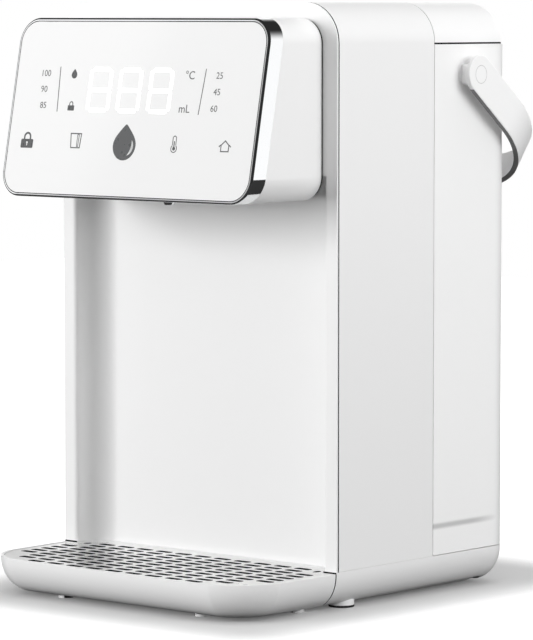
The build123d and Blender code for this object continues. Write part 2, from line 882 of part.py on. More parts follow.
def arch_block(inset, bottom):
    """Makes the arched block over the tank, rounded at the back, above a height."""
    with BuildPart() as block:
        length = body_depth - tank_front - 2 * inset
        extrude(arch_outline(tank_front + inset, inset, tank_floor_height), amount=-length)
        rear_edges = block.faces().sort_by(Axis.Y)[-1].edges()
        fillet(rear_edges.sort_by(Axis.Z)[1:], rear_corner_radius - inset)
        split(bisect_by=Plane.XY.offset(bottom), keep=Keep.TOP)
    return block.part


def plan_block(inset, bottom, top):
    """Makes the tank's plan, drawn in by an inset, as a block between two heights."""
    with BuildPart() as block:
        extrude(plan_outline(bottom, inset, tank_front + inset), amount=top - bottom)
    return block.part


lid_skin = arch_block(0, lid_seam_height)
lid_hollow = arch_block(wall, lid_seam_height)
lip_inset = tank_wall + body_gap
lid_lip_bottom = lid_seam_height - lid_lip_drop
lid_lip_top = lid_seam_height + lid_lip_rise
seal_bottom = lid_lip_bottom + lid_seal_height
seal_top = seal_bottom + lid_seal_height
lip_outer = plan_block(lip_inset, lid_lip_bottom, lid_lip_top)
lip_inner = plan_block(lip_inset + lid_lip_thickness, lid_lip_bottom, lid_lip_top)
shoulder_outer = plan_block(groove_depth, tank_top + seat_gap, lid_seam_height)
seal_groove_outer = plan_block(tank_wall, seal_bottom, seal_top)
seal_groove_inner = plan_block(tank_wall + lid_seal_depth, seal_bottom, seal_top)
seal_outer = plan_block(tank_wall + lid_seal_gap, seal_bottom, seal_top)

with BuildPart() as tank_lid:
    add(lid_skin)
    add(lid_hollow, mode=Mode.SUBTRACT)
    add(lip_outer)
    add(shoulder_outer)
    add(lip_inner, mode=Mode.SUBTRACT)
    add(seal_groove_outer - seal_groove_inner, mode=Mode.SUBTRACT)
tank_lid.part.label = "tank_lid"

with BuildPart() as lid_seal:
    add(seal_outer)
    add(seal_groove_inner, mode=Mode.SUBTRACT)
lid_seal.part.label = "lid_seal"

# Carry handle: a flat strap bent round the back of the tank
handle_axis = Axis(handle_plane.origin, handle_plane.y_dir)
with BuildPart() as carry_handle:
    with BuildSketch(handle_plane) as strap:
        with Locations((0, -handle_width / 2)):
            Rectangle(
                2 * handle_half_span,
                handle_reach + handle_width / 2,
                align=(Align.CENTER, Align.MIN),
            )
        fillet(strap.vertices().group_by(Axis.Y)[-1], handle_bend)
        with BuildSketch(mode=Mode.PRIVATE) as opening:
            with Locations((0, -handle_width / 2)):
                Rectangle(
                    2 * (handle_half_span - handle_thickness),
                    handle_reach - handle_thickness + handle_width / 2,
                    align=(Align.CENTER, Align.MIN),
                )
            fillet(opening.vertices().group_by(Axis.Y)[-1], handle_bend - handle_thickness)
        add(opening.sketch, mode=Mode.SUBTRACT)
    extrude(amount=handle_width / 2, both=True)
    end_edges = carry_handle.edges().filter_by(Axis.X).group_by(handle_axis)[0]
    fillet(end_edges, handle_width / 2 - trim_gap)
    side_pegs(boss_face, peg_length + seat_gap + fit_gap, peg_radius + fit_gap, Mode.SUBTRACT)
carry_handle.part.label = "carry_handle"

# Drip tray: a dish in front of the frame with a tongue in the recess
tongue_gap = -body_gap


def tray_dish(inset, floor):
    """Makes the tray's block, drawn in by an inset, above a floor height."""
    with BuildPart() as dish:
        extrude(tray_front_outline(floor, inset), amount=tray_top - floor)
        under_rounded(dish, under_radius - inset)
        tongue = recess_outline(floor, tongue_gap - inset, -body_gap - inset - recess_depth)
        extrude(tongue, amount=tray_top - floor)
    return dish.part


tray_skin = tray_dish(0, base_bottom)
tray_hollow = tray_dish(tray_rim + tray_ledge, base_bottom + tray_rim)

with BuildPart() as drip_tray:
    add(tray_skin)
    add(tray_hollow, mode=Mode.SUBTRACT)
    rim_depth = tray_top - grille_bottom
    extrude(tray_front_outline(grille_bottom, tray_rim), amount=rim_depth, mode=Mode.SUBTRACT)
    tongue = recess_outline(grille_bottom, tongue_gap - tray_rim, -recess_depth)
    extrude(tongue, amount=rim_depth, mode=Mode.SUBTRACT)
    for x, y in tray_feet:
        upright_rod(x, y, tray_foot_radius, 0, base_bottom + tray_rim)
drip_tray.part.label = "drip_tray"


def slot_reach(y_depth):
    """Gives how far to the side a slot may reach at a depth, so that it keeps its margin."""
    inset = tray_rim + seat_gap + slot_margin
    if y_depth > -body_gap - inset:
        return recess_half_width - body_gap - inset
    corner = tray_corner_radius - inset
    past = -y_depth - (tray_reach - tray_corner_radius)
    if past <= 0:
        return half_width - inset
    return half_width - tray_corner_radius + math.sqrt(max(corner**2 - past**2, 0))


slot_places = [
    (column * slot_pitch_across, slot_first_depth - row * slot_pitch_along)
    for row in range(slot_rows)
    for column in range(-(slot_columns // 2), slot_columns // 2 + 1)
]
grille_slots = [
    (x, y_at(depth))
    for x, depth in slot_places
    if abs(x) + slot_length / 2 <= slot_reach(depth - slot_width / 2)
    and abs(x) + slot_length / 2 <= slot_reach(depth + slot_width / 2)
]

# Drip grille: a steel plate with rows of slots
plate_bottom = grille_bottom + seat_gap
with BuildPart() as drip_grille:
    extrude(tray_front_outline(plate_bottom, tray_rim + seat_gap), amount=grille_thickness)
    tongue = recess_outline(plate_bottom, tongue_gap - tray_rim - seat_gap, -recess_depth)
    extrude(tongue, amount=grille_thickness)
    with BuildSketch(Plane.XY.offset(grille_bottom)):
        with Locations(*grille_slots):
            SlotOverall(slot_length, slot_width)
        with Locations(*both_sides((half_width - finger_hole_inset, finger_hole_depth))):
            Circle(finger_hole_radius)
    extrude(amount=2 * grille_thickness, mode=Mode.SUBTRACT)
drip_grille.part.label = "drip_grille"

pieces = (
    front_frame, side_shell, rear_cover, base_tub, base_deck, rubber_feet, base_screws, cord_gland,
    head_housing, bezel_ring, touch_panel, light_guide, display_board, nozzle, nozzle_tip,
    dock_socket, pump_pad, pump_housing, pump_impeller, pump_motor, heater_tube, heater_caps,
    heater_clamps, inlet_hose, heater_hose, outlet_hose, power_board, board_parts, panel_cable,
    tank_shell, valve_housing, valve_ring, valve_poppet, valve_cage, valve_spring, tank_lid,
    lid_seal, carry_handle, drip_tray, drip_grille,
)

os.makedirs("parts", exist_ok=True)
for piece in pieces:
    export_step(piece.part, f"parts/{piece.part.label}.step")
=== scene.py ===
"""Looks of a countertop hot water dispenser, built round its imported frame, in metres."""

import json
import logging
import math
from dataclasses import dataclass
from enum import Enum
from typing import Callable, Iterable, Optional, Sequence, Union

import bmesh
import bpy
from mathutils import Matrix, Vector

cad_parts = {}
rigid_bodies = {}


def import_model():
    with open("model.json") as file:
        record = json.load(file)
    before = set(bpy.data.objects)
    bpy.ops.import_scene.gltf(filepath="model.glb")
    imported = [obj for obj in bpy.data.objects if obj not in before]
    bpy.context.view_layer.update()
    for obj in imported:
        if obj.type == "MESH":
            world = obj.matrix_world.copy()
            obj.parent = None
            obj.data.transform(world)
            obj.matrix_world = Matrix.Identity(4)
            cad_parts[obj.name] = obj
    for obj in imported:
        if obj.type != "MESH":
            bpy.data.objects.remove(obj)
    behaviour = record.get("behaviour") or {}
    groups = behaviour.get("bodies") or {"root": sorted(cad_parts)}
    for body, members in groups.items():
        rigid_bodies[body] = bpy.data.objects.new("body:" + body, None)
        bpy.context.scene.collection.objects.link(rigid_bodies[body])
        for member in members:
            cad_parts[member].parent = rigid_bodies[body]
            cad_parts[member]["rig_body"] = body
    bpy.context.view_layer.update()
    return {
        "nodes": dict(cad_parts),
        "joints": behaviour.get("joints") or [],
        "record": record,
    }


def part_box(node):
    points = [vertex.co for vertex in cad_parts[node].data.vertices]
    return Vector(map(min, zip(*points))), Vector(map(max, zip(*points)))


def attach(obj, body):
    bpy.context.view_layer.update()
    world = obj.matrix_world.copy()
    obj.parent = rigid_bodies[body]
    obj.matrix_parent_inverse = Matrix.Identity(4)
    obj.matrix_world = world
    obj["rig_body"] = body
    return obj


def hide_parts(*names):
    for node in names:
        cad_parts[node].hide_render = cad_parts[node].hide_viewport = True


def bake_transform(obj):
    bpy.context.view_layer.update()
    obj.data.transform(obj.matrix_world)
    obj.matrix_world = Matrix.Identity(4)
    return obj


LOG = logging.getLogger("dispenser")
MM = 0.001
BODY = "dispenser_body"
CREASE_ANGLE = math.radians(28)
SMOOTH_ANGLE = math.radians(32)
MERGE_DISTANCE = 0.002 * MM
FLAT_ANGLE = math.radians(0.2)
NOISE_SPAN = (0.3, 0.7)
LEVEL_MARGIN = 0.01 * MM

Colour = tuple[float, float, float, float]
Input = Union[float, Sequence[float], bpy.types.NodeSocket]


def linear(code: str) -> Colour:
    """Turns an sRGB hex code into a linear colour.

    Args:
        code: Six hex digits after a hash sign.

    Returns:
        The red, green and blue in linear light, with an alpha of 1.
    """
    channels = [int(code[place:place + 2], 16) / 255 for place in (1, 3, 5)]
    red, green, blue = (
        value / 12.92 if value <= 0.04045 else ((value + 0.055) / 1.055) ** 2.4 for value in channels
    )
    return (red, green, blue, 1.0)


def add_node(
    tree: bpy.types.NodeTree,
    kind: str,
    inputs: Optional[dict[Union[str, int], Input]] = None,
    **settings: object,
) -> bpy.types.Node:
    """Adds a node with its settings, its input values and its links.

    Args:
        tree: The node tree that gets the node.
        kind: Blender's name for the kind of node.
        inputs: A value for each named or numbered input, or the socket that feeds it.
        settings: Properties of the node itself.

    Returns:
        The new node.
    """
    node = tree.nodes.new(kind)
    for name, value in settings.items():
        setattr(node, name, value)
    for name, value in (inputs or {}).items():
        if isinstance(value, bpy.types.NodeSocket):
            tree.links.new(value, node.inputs[name])
        else:
            node.inputs[name].default_value = value
    return node


class Slot(Enum):
    """The material slots of the record."""

    WHITE_ABS = "white_abs"
    FROSTED = "frosted_plastic"
    LID = "lid_plastic"
    GLASS = "white_glass"
    CHROME = "chrome"
    GRILLE = "grille_steel"
    HEATER = "heater_steel"
    RUBBER = "black_rubber"
    SILICONE = "white_silicone"
    BOARD = "circuit_board"
    BLACK = "black_plastic"
    GREY = "grey_plastic"
    ZINC = "zinc_screws"


def calculated(tree: bpy.types.NodeTree, operation: str, *values: Input) -> bpy.types.NodeSocket:
    """Adds a calculation with numbers and gives its result."""
    return add_node(tree, "ShaderNodeMath", dict(enumerate(values)), operation=operation).outputs[0]


def noise(
    tree: bpy.types.NodeTree, place: bpy.types.NodeSocket, size_mm: float, detail: float
) -> bpy.types.NodeSocket:
    """Adds an even noise.

    Args:
        tree: The material's node tree.
        place: The place on the surface.
        size_mm: The size of its patches.
        detail: The number of finer layers in it.

    Returns:
        The noise, about 0.5 in the middle.
    """
    scale = 1 / (size_mm * MM)
    made = add_node(tree, "ShaderNodeTexNoise", {"Vector": place, "Scale": scale, "Detail": detail})
    return made.outputs["Fac"]


def soft_step(
    tree: bpy.types.NodeTree, value: Input, start: float, end: float, low: float = 0.0, high: float = 1.0
) -> bpy.types.NodeSocket:
    """Adds a soft step from one value to another.

    Args:
        tree: The node tree.
        value: The value that decides where on the step it is.
        start: The value where the step starts.
        end: The value where it ends.
        low: The result at its start.
        high: The result at its end.

    Returns:
        The result.
    """
    values = {"Value": value, "From Min": start, "From Max": end, "To Min": low, "To Max": high}
    made = add_node(tree, "ShaderNodeMapRange", values, interpolation_type="SMOOTHSTEP")
    return made.outputs["Result"]


def mixed(tree: bpy.types.NodeTree, share: Input, first: Input, second: Input) -> bpy.types.NodeSocket:
    """Adds a mix of two colours and gives it."""
    made = add_node(tree, "ShaderNodeMix", {0: share, 6: first, 7: second}, data_type="RGBA")
    return made.outputs[2]


def add_object(name: str, data: bpy.types.ID) -> bpy.types.Object:
    """Makes an object from its data and puts it in the scene.

    Args:
        name: The object's name.
        data: The object's data.

    Returns:
        The new object.
    """
    made = bpy.data.objects.new(name, data)
    bpy.context.scene.collection.objects.link(made)
    return made


def corners_of(made: dict) -> list[bmesh.types.BMVert]:
    """Picks the corners out of what a bmesh operator made."""
    return [part for part in made["geom"] if isinstance(part, bmesh.types.BMVert)]


@dataclass(frozen=True)
class Finish:
    """A finish with an even colour, a fine grain and a slow change of gloss.

    Attributes:
        title: The material's name.
        colour: The main colour.
        shade: The colour that it drifts towards in patches.
        roughness: The middle roughness.
        roughness_drift: How far the roughness drifts to each side.
        patch_mm: The size of the patches.
        grain_mm: The size of the surface's grain.
        grain_depth_mm: The height of the grain.
        ior: The index of refraction.
        metallic: 1 for a bare metal.
    """

    title: str
    colour: str
    shade: str
    roughness: float
    roughness_drift: float = 0.03
    patch_mm: float = 60.0
    grain_mm: float = 0.6
    grain_depth_mm: float = 0.004
    ior: float = 1.5
    metallic: float = 0.0

    def extras(self) -> dict[str, Input]:
        """Gives the shader's own constants, beside those that every finish has."""
        return {}

    def position(self, tree: bpy.types.NodeTree) -> bpy.types.NodeSocket:
        """Gives the place on the piece that the patterns read."""
        return add_node(tree, "ShaderNodeTexCoord").outputs["Object"]

    def grain(self, tree: bpy.types.NodeTree, place: bpy.types.NodeSocket) -> bpy.types.NodeSocket:
        """Gives the height of the surface's grain."""
        return noise(tree, place, self.grain_mm, 2.0)

    def paint(self, tree: bpy.types.NodeTree, place: bpy.types.NodeSocket) -> bpy.types.NodeSocket:
        """Gives the colour, which drifts between the main colour and its shade."""
        patches = noise(tree, place, self.patch_mm, 1.0)
        return mixed(tree, patches, linear(self.colour), linear(self.shade))

    def gloss(self, tree: bpy.types.NodeTree, place: bpy.types.NodeSocket) -> bpy.types.NodeSocket:
        """Gives the roughness, which drifts to both sides of its middle.

        Args:
            tree: The material's node tree.
            place: The place on the surface.

        Returns:
            The roughness.
        """
        patches = noise(tree, place, self.patch_mm / 2, 2.0)
        low, high = self.roughness - self.roughness_drift, self.roughness + self.roughness_drift
        return soft_step(tree, patches, *NOISE_SPAN, low, high)

    def build(self) -> bpy.types.Material:
        """Makes the material.

        Returns:
            The material.
        """
        material = bpy.data.materials.new(self.title)
        material.use_nodes = True
        tree = material.node_tree
        tree.nodes.clear()
        place = self.position(tree)
        bump = add_node(
            tree,
            "ShaderNodeBump",
            {"Height": self.grain(tree, place), "Strength": 1.0, "Distance": self.grain_depth_mm * MM},
        )
        shader = add_node(
            tree,
            "ShaderNodeBsdfPrincipled",
            {
                "Base Color": self.paint(tree, place),
                "Roughness": self.gloss(tree, place),
                "Metallic": self.metallic,
                "IOR": self.ior,
                "Normal": bump.outputs["Normal"],
                **self.extras(),
            },
        )
        add_node(tree, "ShaderNodeOutputMaterial", {"Surface": shader.outputs["BSDF"]})
        return material


@dataclass(frozen=True)
class FrostedPlastic(Finish):
    """A translucent moulded plastic that blurs what lies behind it.

    Attributes:
        transmission: The share of light that passes through.
    """

    transmission: float = 0.5

    def extras(self) -> dict[str, Input]:
        """Gives the share of light that passes through."""
        return {"Transmission Weight": self.transmission}


@dataclass(frozen=True)
class TankPlastic(FrostedPlastic):
    """Frosted plastic with painted shade: a soft grey band where the tank's floor shows through, and grey
    rear corners.

    Attributes:
        band: The colour of the painted shade.
        band_height_mm: The height of the band's middle.
        band_reach_mm: How far the band reaches up and down.
        band_core_mm: How far its darkest part reaches.
        band_end_mm: Where the band fades out towards the rear.
        shaded_corner_side_mm: Where the painted shade of the rear corners starts and ends, from the middle
            to the side.
        shaded_corner_rear_mm: Where it starts and ends towards the rear.
    """

    band: str = "#CDCDCD"
    band_height_mm: float = 37.0
    band_reach_mm: float = 2.4
    band_core_mm: float = 0.3
    band_end_mm: tuple[float, float] = (55.0, 86.0)
    shaded_corner_side_mm: tuple[float, float] = (78.0, 90.0)
    shaded_corner_rear_mm: tuple[float, float] = (73.0, 92.0)

    def paint(self, tree: bpy.types.NodeTree, place: bpy.types.NodeSocket) -> bpy.types.NodeSocket:
        """Gives the colour, with the painted shade of the floor's band and of the rear corners over it.

        Args:
            tree: The material's node tree.
            place: The place on the surface.

        Returns:
            The colour.
        """
        side, back, up = add_node(tree, "ShaderNodeSeparateXYZ", {0: place}).outputs
        # Painted shade of the tank's floor, which shows through the wall as a band
        away = calculated(tree, "ABSOLUTE", calculated(tree, "SUBTRACT", up, self.band_height_mm * MM))
        near = soft_step(tree, away, self.band_reach_mm * MM, self.band_core_mm * MM)
        start, end = (length * MM for length in self.band_end_mm)
        level = calculated(tree, "MULTIPLY", near, soft_step(tree, back, end, start))
        # Painted shade on the rear corners, which turn away from the lamps
        outer = soft_step(
            tree, calculated(tree, "ABSOLUTE", side), *(length * MM for length in self.shaded_corner_side_mm)
        )
        rear = soft_step(tree, back, *(length * MM for length in self.shaded_corner_rear_mm))
        share = calculated(tree, "MAXIMUM", level, calculated(tree, "MULTIPLY", outer, rear))
        return mixed(tree, share, super().paint(tree, place), linear(self.band))


@dataclass(frozen=True)
class PrintedGlass(Finish):
    """A sheet of glass with white ink on its back, so the white lies under a clear gloss.

    Attributes:
        coat: The strength of the clear surface.
        coat_roughness: The roughness of the clear surface.
    """

    coat: float = 1.0
    coat_roughness: float = 0.02

    def extras(self) -> dict[str, Input]:
        """Gives the clear surface over the ink.

        Returns:
            The values of the shader's inputs, by name.
        """
        return {
            "Specular IOR Level": 0.0,
            "Coat Weight": self.coat,
            "Coat Roughness": self.coat_roughness,
            "Coat IOR": self.ior,
        }


@dataclass(frozen=True)
class BrushedMetal(Finish):
    """A metal with fine straight lines along X.

    Attributes:
        line_length_mm: The length of a brushed line.
        anisotropy: How far the lines stretch the highlights.
    """

    line_length_mm: float = 24.0
    anisotropy: float = 0.5

    def extras(self) -> dict[str, Input]:
        """Gives the stretch of the highlights."""
        return {"Anisotropic": self.anisotropy}

    def grain(self, tree: bpy.types.NodeTree, place: bpy.types.NodeSocket) -> bpy.types.NodeSocket:
        """Gives the height of the brushed lines.

        Args:
            tree: The material's node tree.
            place: The place on the surface.

        Returns:
            The height.
        """
        stretch = self.grain_mm / self.line_length_mm
        lines = add_node(tree, "ShaderNodeMapping", {"Vector": place, "Scale": (stretch, 1.0, 1.0)})
        return noise(tree, lines.outputs["Vector"], self.grain_mm, 3.0)


@dataclass(frozen=True)
class SolderMask(Finish):
    """A lacquered circuit board with copper tracks under the lacquer.

    Attributes:
        track_pitch_mm: The distance from one track to the next.
        track_width: The width of a track, in pitches.
        track_run: The length of a straight track, in pitches.
    """

    track_pitch_mm: float = 3.0
    track_width: float = 0.05
    track_run: float = 4.0

    def paint(self, tree: bpy.types.NodeTree, place: bpy.types.NodeSocket) -> bpy.types.NodeSocket:
        """Gives the lacquer's colour, lighter over the tracks.

        Args:
            tree: The material's node tree.
            place: The place on the surface.

        Returns:
            The colour.
        """
        upright = (math.radians(90), 0.0, 0.0)
        turned = add_node(tree, "ShaderNodeMapping", {"Vector": place, "Rotation": upright})
        tracks = add_node(
            tree,
            "ShaderNodeTexBrick",
            {
                "Vector": turned.outputs["Vector"],
                "Color1": linear(self.colour),
                "Color2": linear(self.colour),
                "Mortar": linear(self.shade),
                "Scale": 1 / (self.track_pitch_mm * MM),
                "Mortar Size": self.track_width,
                "Brick Width": self.track_run,
                "Row Height": 1.0,
            },
        )
        return tracks.outputs["Color"]


@dataclass(frozen=True)
class LitInk(Finish):
    """An ink that a lamp behind the glass lights up.

    Attributes:
        glow: The strength of the light.
    """

    glow: float = 0.4

    def extras(self) -> dict[str, Input]:
        """Gives the light that the ink lets through."""
        return {"Emission Color": linear(self.colour), "Emission Strength": self.glow}


FINISHES: dict[Slot, Finish] = {
    # Moulded ABS with a satin mould texture: an even white skin with soft, wide highlights
    Slot.WHITE_ABS: Finish("moulded white ABS", "#EEEEEE", "#EEEEEE", 0.34, 0.015, ior=1.53),
    # Frosted copolyester: brighter than the ABS, with painted shade over it: the floor inside as a soft
    # grey band, and grey rear corners
    Slot.FROSTED: TankPlastic("frosted copolyester", "#FDFDFD", "#FDFDFD", 0.5, ior=1.3, transmission=0.08),
    # Moulded ABS from a smoother tool: a brighter white with a slightly sharper highlight
    Slot.LID: Finish("moulded white ABS, fine satin", "#F3F3F3", "#F3F3F3", 0.3, 0.01, ior=1.53),
    # Toughened glass printed white behind: a flat even white under a mirror-like surface
    Slot.GLASS: PrintedGlass(
        "back-printed glass", "#E2E2E2", "#E2E2E2", 0.3, grain_depth_mm=0.0002, ior=1.52
    ),
    # Chrome plate on plastic: nearly black and white bands with a faint softness
    Slot.CHROME: Finish(
        "polished chrome plate", "#E4E5E6", "#DFE0E1", 0.05, 0.01,
        grain_mm=6.0, grain_depth_mm=0.001, metallic=1.0,
    ),
    # Brushed stainless steel: light grey with fine lines along the slots
    # The lines are drawn 0.5 mm apart, coarser than real ones, so that they show
    Slot.GRILLE: BrushedMetal(
        "brushed stainless steel", "#F0F0EF", "#E8E8E7", 0.3,
        grain_mm=0.5, grain_depth_mm=0.01, metallic=1.0,
    ),
    # Drawn stainless steel: a duller grey with long soft highlights
    Slot.HEATER: Finish(
        "drawn stainless steel", "#B4B4B2", "#A8A8A6", 0.36, 0.06,
        grain_mm=1.2, grain_depth_mm=0.01, metallic=1.0,
    ),
    # Moulded nitrile rubber: black and dull, with a faint bloom
    Slot.RUBBER: Finish("moulded nitrile rubber", "#1E1E1E", "#262626", 0.82, 0.06, 12.0, 0.4, 0.02, 1.52),
    # Extruded silicone: milky white with a soft sheen
    Slot.SILICONE: FrostedPlastic(
        "extruded silicone", "#E9E9E6", "#E2E2DE", 0.45, ior=1.41, transmission=0.2
    ),
    # Fibreglass board under green lacquer: dark green with lighter straight tracks
    Slot.BOARD: SolderMask(
        "lacquered fibreglass board", "#16502F", "#2C7A4A", 0.35, 0.04, 20.0, 0.8, 0.01, 1.55
    ),
    # Moulded nylon: black with a dull spark texture
    Slot.BLACK: Finish("moulded black nylon", "#1B1B1C", "#222223", 0.55, 0.05, 20.0, 0.5, 0.02, 1.53),
    # Moulded acetal: mid grey with a waxy, even sheen
    Slot.GREY: Finish("moulded grey acetal", "#A3A4A5", "#9C9D9E", 0.42, 0.05, 25.0, 0.6, 0.006, 1.48),
    # Bright zinc plate on steel: light grey with slight bluish patches
    Slot.ZINC: Finish("bright zinc plate", "#C4C7CB", "#B6BBC2", 0.28, 0.08, 3.0, 0.5, 0.006, metallic=1.0),
}
# Screen ink under the glass: a flat mid grey
GREY_INK = Finish("grey screen ink", "#4E4F50", "#4E4F50", 0.3, patch_mm=4.0, ior=1.52)
# Clear windows in the ink, lit from behind: whiter than the white round them
LIT_INK = LitInk("lit display window", "#FFFFFF", "#FFFFFF", 0.3, patch_mm=8.0, ior=1.52)
# Painted shade on the walls of a slot: nearly black, as little light reaches there
SLOT_PAINTED_SHADE = Finish("painted shade in slots", "#0C0C0C", "#101010", 0.6, patch_mm=6.0, ior=1.5)
# Closed-cell foam round the glass, and painted shade in the gaps between shells: black and dull
FOAM_AND_GAP_SHADE = Finish(
    "closed-cell foam and painted gap shade", "#161616", "#1A1A1A", 0.9, patch_mm=6.0, grain_mm=0.3, grain_depth_mm=0.03
)
# Painted shade on the strap's lower edge, which looks down, away from the lamps: a plain dark grey
STRAP_EDGE_SHADE = Finish("painted shade on strap edge", "#7C7C7C", "#828282", 0.5, patch_mm=8.0, ior=1.53)
# The joint round a pin, a real line whose grey is painted shade: a thin soft grey line
JOINT_LINE = Finish("shaded moulding joint", "#C6C6C6", "#CCCCCC", 0.5, patch_mm=2.0, ior=1.53)


class Palette:
    """Makes each finish once and hands it out."""

    def __init__(self) -> None:
        """Starts with no material made."""
        self.made: dict[str, bpy.types.Material] = {}

    def of(self, finish: Finish) -> bpy.types.Material:
        """Gives a finish's material and makes it at the first call.

        Args:
            finish: The finish.

        Returns:
            The material.
        """
        if finish.title not in self.made:
            self.made[finish.title] = finish.build()
        return self.made[finish.title]


@dataclass
class Forms:
    """Small corrections of form that the photograph shows beside the solids, in millimetres.

    Attributes:
        pivot: The place of the handle's axis, front to back and upwards.
        near: How far from a place a point still counts as there.
        half_width: Half of the body's width.
        body_top: The height of the body's top.
        body_corner: The radius of the body's upper corners.
        face: The place of the frame's face, front to back.
        plate: The distance from the frame's face back to its seam in the solids.
        plate_seam: The width of that seam.
        plate_edge: How far in from the frame's outline points still lie in the seam.
        plate_cut: How much closer to the face the photograph shows the seam.
        shell_growth: How far the shell's front edge follows it.
        base_top: The height of the base's top.
        base_bottom: The height of the base's underside in the solids.
        low_bottom: The height of the base's underside in the photograph.
        foot_place: The place of a rear foot, from the middle to the side and front to back.
        foot_reach: How far from there points still belong to the foot.
        foot_shift: How far inwards the foot moves.
        tray_front: The place of the tray's front.
        tray_corner: The radius of the tray's front corners in the solids.
        round_corner: The radius of the tray's front corners in the photograph.
        tray_gap: The joint between the tray and the base in the solids, and how much it opens.
        tongue_front: The place from where on backwards the tray's tongue is drawn in.
        tongue_side: Half of the width of the tongue's underside.
        slot_growth: How much wider the grille's slots are in the photograph.
        slot_margin: The least distance from a slot to the tray's side.
        slot_longest: The greatest length that a slot has.
        head_top: The height of the head's top.
        head_bottom: The height of the head's underside in the solids.
        head_growth: How much taller the head is in the photograph.
        head_corner: The radius of the head's corners.
        head_side: Half of the head's width.
        rear_radius: The radius of the head's rear edge in the solids.
        rear_margin: How far beyond that radius points still belong to the edge.
        rear_share: The share of that radius that the photograph shows.
        nozzle_place: The place of the nozzle, front to back.
        nozzle_share: The share of the nozzle's width that the photograph shows.
        nozzle_drop: How far the nozzle comes down with the head's underside.
        tip_top: The height of the tip's upper end in the solids.
        tip_share: The share of the tip's width that the photograph shows.
        tip_length_share: The share of its length.
        rim_start: The height from where on upwards the tank's rim is stretched.
        rim_growth: How much it is stretched.
        boss_reach: How far from the handle's axis points still belong to a boss.
        boss_share: The share of the boss's width that the photograph shows.
    """

    pivot: tuple[float, float]
    near: float = 0.05
    half_width: float = 96.9
    body_top: float = 315.0
    body_corner: float = 21.0
    face: float = -57.87
    plate: float = 3.0
    plate_seam: float = 0.5
    plate_edge: float = 0.3
    plate_cut: float = 2.0
    shell_growth: float = 1.7
    base_top: float = 21.2
    base_bottom: float = 4.5
    low_bottom: float = 1.8
    foot_place: tuple[float, float] = (82.8, 70.13)
    foot_reach: float = 8.0
    foot_shift: float = 20.0
    tray_front: float = -129.37
    tray_corner: float = 27.0
    round_corner: float = 36.0
    tray_gap: float = 0.4
    tongue_front: float = -76.0
    tongue_side: float = 81.0
    slot_growth: float = 1.45
    slot_margin: float = 4.3
    slot_longest: float = 15.0
    head_top: float = 307.0
    head_bottom: float = 214.4
    head_growth: float = 1.0162
    head_corner: float = 13.0
    head_side: float = 88.0
    rear_radius: float = 5.0
    rear_margin: float = 0.01
    rear_share: float = 0.6
    nozzle_place: float = -78.87
    nozzle_share: float = 0.875
    nozzle_drop: float = 1.5
    tip_top: float = 213.0
    tip_share: float = 0.34
    tip_length_share: float = 0.44
    rim_start: float = 286.0
    rim_growth: float = 1.2456
    boss_reach: float = 12.0
    boss_share: float = 0.865

    def lower_base(self, point: Vector) -> None:
        """Brings the base's underside down to the height that the photograph shows.

        Args:
            point: A point of the piece, in millimetres, which is moved in place.
        """
        if point.z <= self.base_bottom:
            point.z *= self.low_bottom / self.base_bottom
        elif point.z < self.base_top:
            growth = (self.base_top - self.low_bottom) / (self.base_top - self.base_bottom)
            point.z = self.base_top - (self.base_top - point.z) * growth

    def tuck_tongue(self, point: Vector) -> None:
        """Draws in the underside of the tray's tongue, behind the rounding of its side.

        Args:
            point: A point of the piece, in millimetres, which is moved in place.
        """
        low = point.z < self.low_bottom + self.near
        if low and point.y > self.tongue_front and abs(point.x) > self.tongue_side:
            point.x = math.copysign(self.tongue_side, point.x)

    def shift_rear_feet(self, point: Vector) -> None:
        """Brings the rear feet closer together, out of sight from the front.

        Args:
            point: A point of the piece, in millimetres, which is moved in place.
        """
        side, back = self.foot_place
        beside = math.hypot(abs(point.x) - side, point.y - back)
        if beside < self.foot_reach and point.z < self.base_bottom + self.near:
            point.x -= math.copysign(self.foot_shift, point.x)

    def tray_inset(self, point: Vector, corner: float) -> float:
        """Gives the distance from the tray's outline with front corners of a radius.

        Args:
            point: A point, in millimetres.
            corner: The radius of the front corners.

        Returns:
            The distance, in millimetres.
        """
        side = self.half_width - abs(point.x)
        front = point.y - self.tray_front
        if side < corner and front < corner:
            return corner - math.hypot(corner - side, corner - front)
        return min(side, front)

    def round_tray(self, point: Vector) -> None:
        """Makes the tray's front corners rounder.

        Args:
            point: A point of the piece, in millimetres, which is moved in place.
        """
        side = self.half_width - abs(point.x)
        front = point.y - self.tray_front
        corner = self.round_corner
        if side < corner and front < corner:
            reach = corner - self.tray_inset(point, self.tray_corner)
            angle = math.atan2(corner - front, corner - side)
            point.x = math.copysign(self.half_width - corner + reach * math.cos(angle), point.x)
            point.y = self.tray_front + corner - reach * math.sin(angle)

    def open_joint(self, point: Vector) -> None:
        """Opens the joint between the tray and the base."""
        if abs(point.y - self.face + self.tray_gap) < self.near:
            point.y -= self.tray_gap

    def raise_head(self, point: Vector) -> None:
        """Makes the head taller."""
        point.z = self.head_top - (self.head_top - point.z) * self.head_growth

    def head_low(self) -> float:
        """Gives the height of the taller head's underside."""
        return self.head_top - (self.head_top - self.head_bottom) * self.head_growth

    def tighten_rear(self, point: Vector) -> None:
        """Makes the rounding where the head meets the frame smaller.

        Args:
            point: A point of the piece, in millimetres, which is moved in place.
        """
        forwards = self.face - point.y
        straight = self.head_side - self.head_corner
        centre_x = min(max(point.x, -straight), straight)
        centre_z = min(max(point.z, self.head_low() + self.head_corner), self.head_top - self.head_corner)
        across, up = point.x - centre_x, point.z - centre_z
        reach = math.hypot(across, up)
        inset = self.head_corner - reach
        if reach > 0 and max(forwards, inset) < self.rear_radius + self.rear_margin:
            share = (self.head_corner - inset * self.rear_share) / reach
            point.x = centre_x + across * share
            point.z = centre_z + up * share
            point.y = self.face - forwards * self.rear_share

